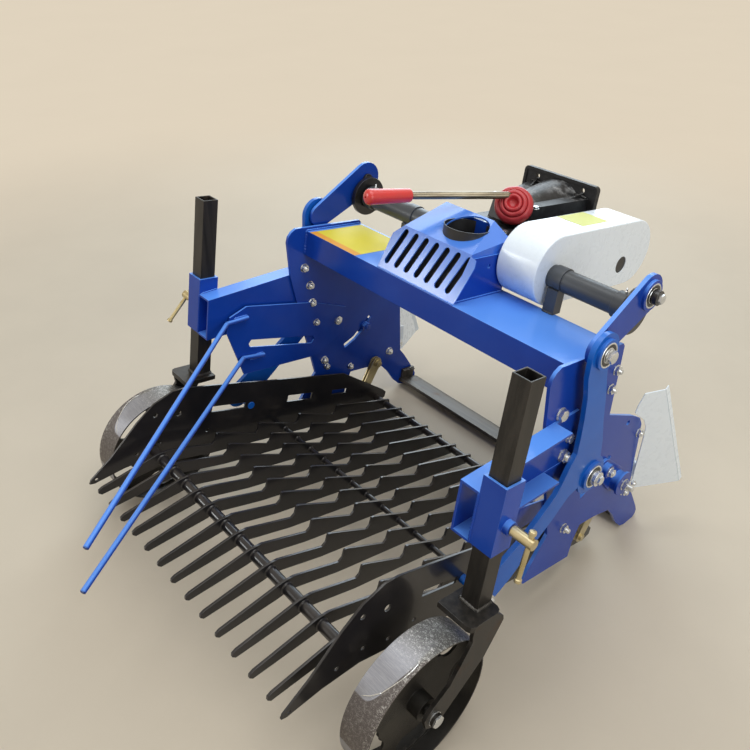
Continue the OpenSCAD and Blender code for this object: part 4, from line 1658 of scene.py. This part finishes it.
@dataclass
class Digger:
    """Blade, shields and guide rods.

    Attributes:
        yard: The frame's solids.
        blade_bead: Ends of the bead between a blade's foot and its side plate.
    """

    yard: Yard
    blade_bead: Rows = ((405, 366, 189), (405, 418, 183))

    def build(self) -> None:
        """Dresses the solids and adds their welds."""
        self.yard.dress("digging_blade", Finish.BLADE, 0.6)
        for side in Side:
            self.yard.dress(f"shield_{side.tag}", Finish.WHITE, 0.5)
        self.yard.dress("guide_rods", Finish.BLUE, 0)
        forge = Forge()
        forge.bead(self.blade_bead, 3, 60)
        forge.mirrored()
        forge.emit("blade_welds", "frame", Finish.WELD)


# ---- surroundings ----


@dataclass(frozen=True)
class Lamp:
    """A square area lamp.

    Attributes:
        name: Its name.
        at: Its place in metres.
        aim: The point that it faces.
        power: Its power in watts.
        size: Its width in metres.
        colour: Its colour.
    """

    name: str
    at: Point
    aim: Point
    power: float
    size: float
    colour: Point = (0.95, 0.985, 1.0)

    def hang(self) -> None:
        """Adds the lamp, hidden from the camera."""
        data = bpy.data.lights.new(self.name, "AREA")
        data.energy, data.size, data.color = self.power, self.size, self.colour
        lamp = bpy.data.objects.new(self.name, data)
        bpy.context.scene.collection.objects.link(lamp)
        lamp.location, lamp.visible_camera = self.at, False
        lamp.rotation_mode = "QUATERNION"
        facing = Vector(self.aim) - Vector(self.at)
        lamp.rotation_quaternion = facing.to_track_quat("-Z", "Y")


@dataclass
class Studio:
    """Floor, lamps, world and camera.

    Attributes:
        floor: Colour of the floor round the machine.
        far_floor: Colour of the floor far off, and of what is seen beyond it.
        fade: Distances between which the floor turns into the far floor, in metres.
        sky: Brightness of the light from all round.
        sky_tint: Its colour.
        lamps: The lamps: overhead, beyond the machine and two weaker ones from behind it.
        lens: Focal length of the camera in millimetres.
        shift: Its vertical shift.
        eye: Its place in metres.
        right: Which way is right in the picture.
        up: Which way is up in it.
    """

    floor: Point = (0.64, 0.545, 0.42)
    far_floor: Point = (0.76, 0.665, 0.525)
    fade: tuple[float, float] = (1.3, 3.8)
    sky: float = 0.28
    sky_tint: Point = (0.93, 0.96, 1.0)
    lamps: tuple[Lamp, ...] = (
        Lamp("overhead", (0.3, 0.2, 3.6), (0, 0, 0.4), 80.0, 3.0),
        Lamp("beyond", (-2.5, 3.0, 1.95), (0.1, 0, 0.6), 100.0, 3.0, (0.72, 0.87, 1.0)),
        Lamp("key", (-2.6, -2.9, 2.0), (0, 0, 0.7), 30.0, 0.95),
        Lamp("side", (3.2, -0.4, 1.9), (0, 0, 0.4), 32.0, 1.8),
    )
    lens: float = 37.24
    shift: float = -0.075
    eye: Point = (1.0921, -0.9848, 1.4775)
    right: Point = (0.6611, 0.7503, 0.0098)
    up: Point = (-0.3847, 0.3276, 0.8629)

    def build(self) -> None:
        """Builds all of them."""
        self.ground()
        self.world()
        for lamp in self.lamps:
            lamp.hang()
        self.camera()
        bpy.context.scene.view_settings.view_transform = "Standard"

    def ground(self) -> None:
        """A wide pale floor, faintly mottled."""
        mesh = bpy.data.meshes.new("floor")
        corners = [(-30, -30, 0), (30, -30, 0), (30, 30, 0), (-30, 30, 0)]
        mesh.from_pydata(corners, [], [(0, 1, 2, 3)])
        floor = bpy.data.objects.new("floor", mesh)
        bpy.context.scene.collection.objects.link(floor)
        g = Graph(bpy.data.materials.new("pale_floor"))
        cloudy = g.noise(1.6, 6.0, 0.6)
        mottle = cloudy.rise(0.3, 0.7) * 0.5 + g.noise(90.0, 4.0, 0.7) * 0.15
        colour = g.tint(mottle, self.floor, tuple(0.88 * c for c in self.floor))
        pale = g.tint(cloudy, self.far_floor, tuple(0.96 * c for c in self.far_floor))
        far = g.vector("LENGTH", g.place(), out="Value").rise(*self.fade)
        near = g.node("ShaderNodeBsdfPrincipled", {}, {"Base Color": colour, "Roughness": 0.85})
        away = g.node("ShaderNodeEmission", {}, {"Color": pale})
        g.end(g.node("ShaderNodeMixShader", {}, {0: far, 1: near, 2: away}))
        mesh.materials.append(g.owner)

    def world(self) -> None:
        """Even soft light from all round; what is seen of it is as pale as the far floor."""
        world = bpy.data.worlds.new("studio")
        bpy.context.scene.world = world
        g = Graph(world)
        seen = g.node("ShaderNodeLightPath", out="Is Camera Ray")
        for ray in ("Is Glossy Ray", "Is Transmission Ray"):
            seen = seen.most(g.node("ShaderNodeLightPath", out=ray))
        colour = g.tint(seen, tuple(self.sky * c for c in self.sky_tint), self.far_floor)
        g.end(g.node("ShaderNodeBackground", {}, {"Color": colour}), "ShaderNodeOutputWorld")

    def camera(self) -> None:
        """The camera at the viewing angle of the picture."""
        data = bpy.data.cameras.new("view")
        data.lens, data.sensor_width, data.shift_y = self.lens, 36.0, self.shift
        data.clip_start, data.clip_end = 0.05, 100.0
        cam = bpy.data.objects.new("view", data)
        bpy.context.scene.collection.objects.link(cam)
        right, up = Vector(self.right), Vector(self.up)
        turn = Matrix((right, up, right.cross(up))).transposed().to_4x4()
        cam.matrix_world = Matrix.Translation(self.eye) @ turn
        bpy.context.scene.camera = cam


def main() -> None:
    """Builds the sub-assemblies in order."""
    logging.basicConfig(level=logging.INFO, format="%(name)s: %(message)s")
    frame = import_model()
    yard = Yard(frame)
    Studio().build()
    for kind in (MainFrame, GaugeWheels, Sieve, ShakerDrive, Gearbox, Digger):
        kind(yard).build()
        log.info("%s built", kind.__name__)


if __name__ == "__main__":
    main()
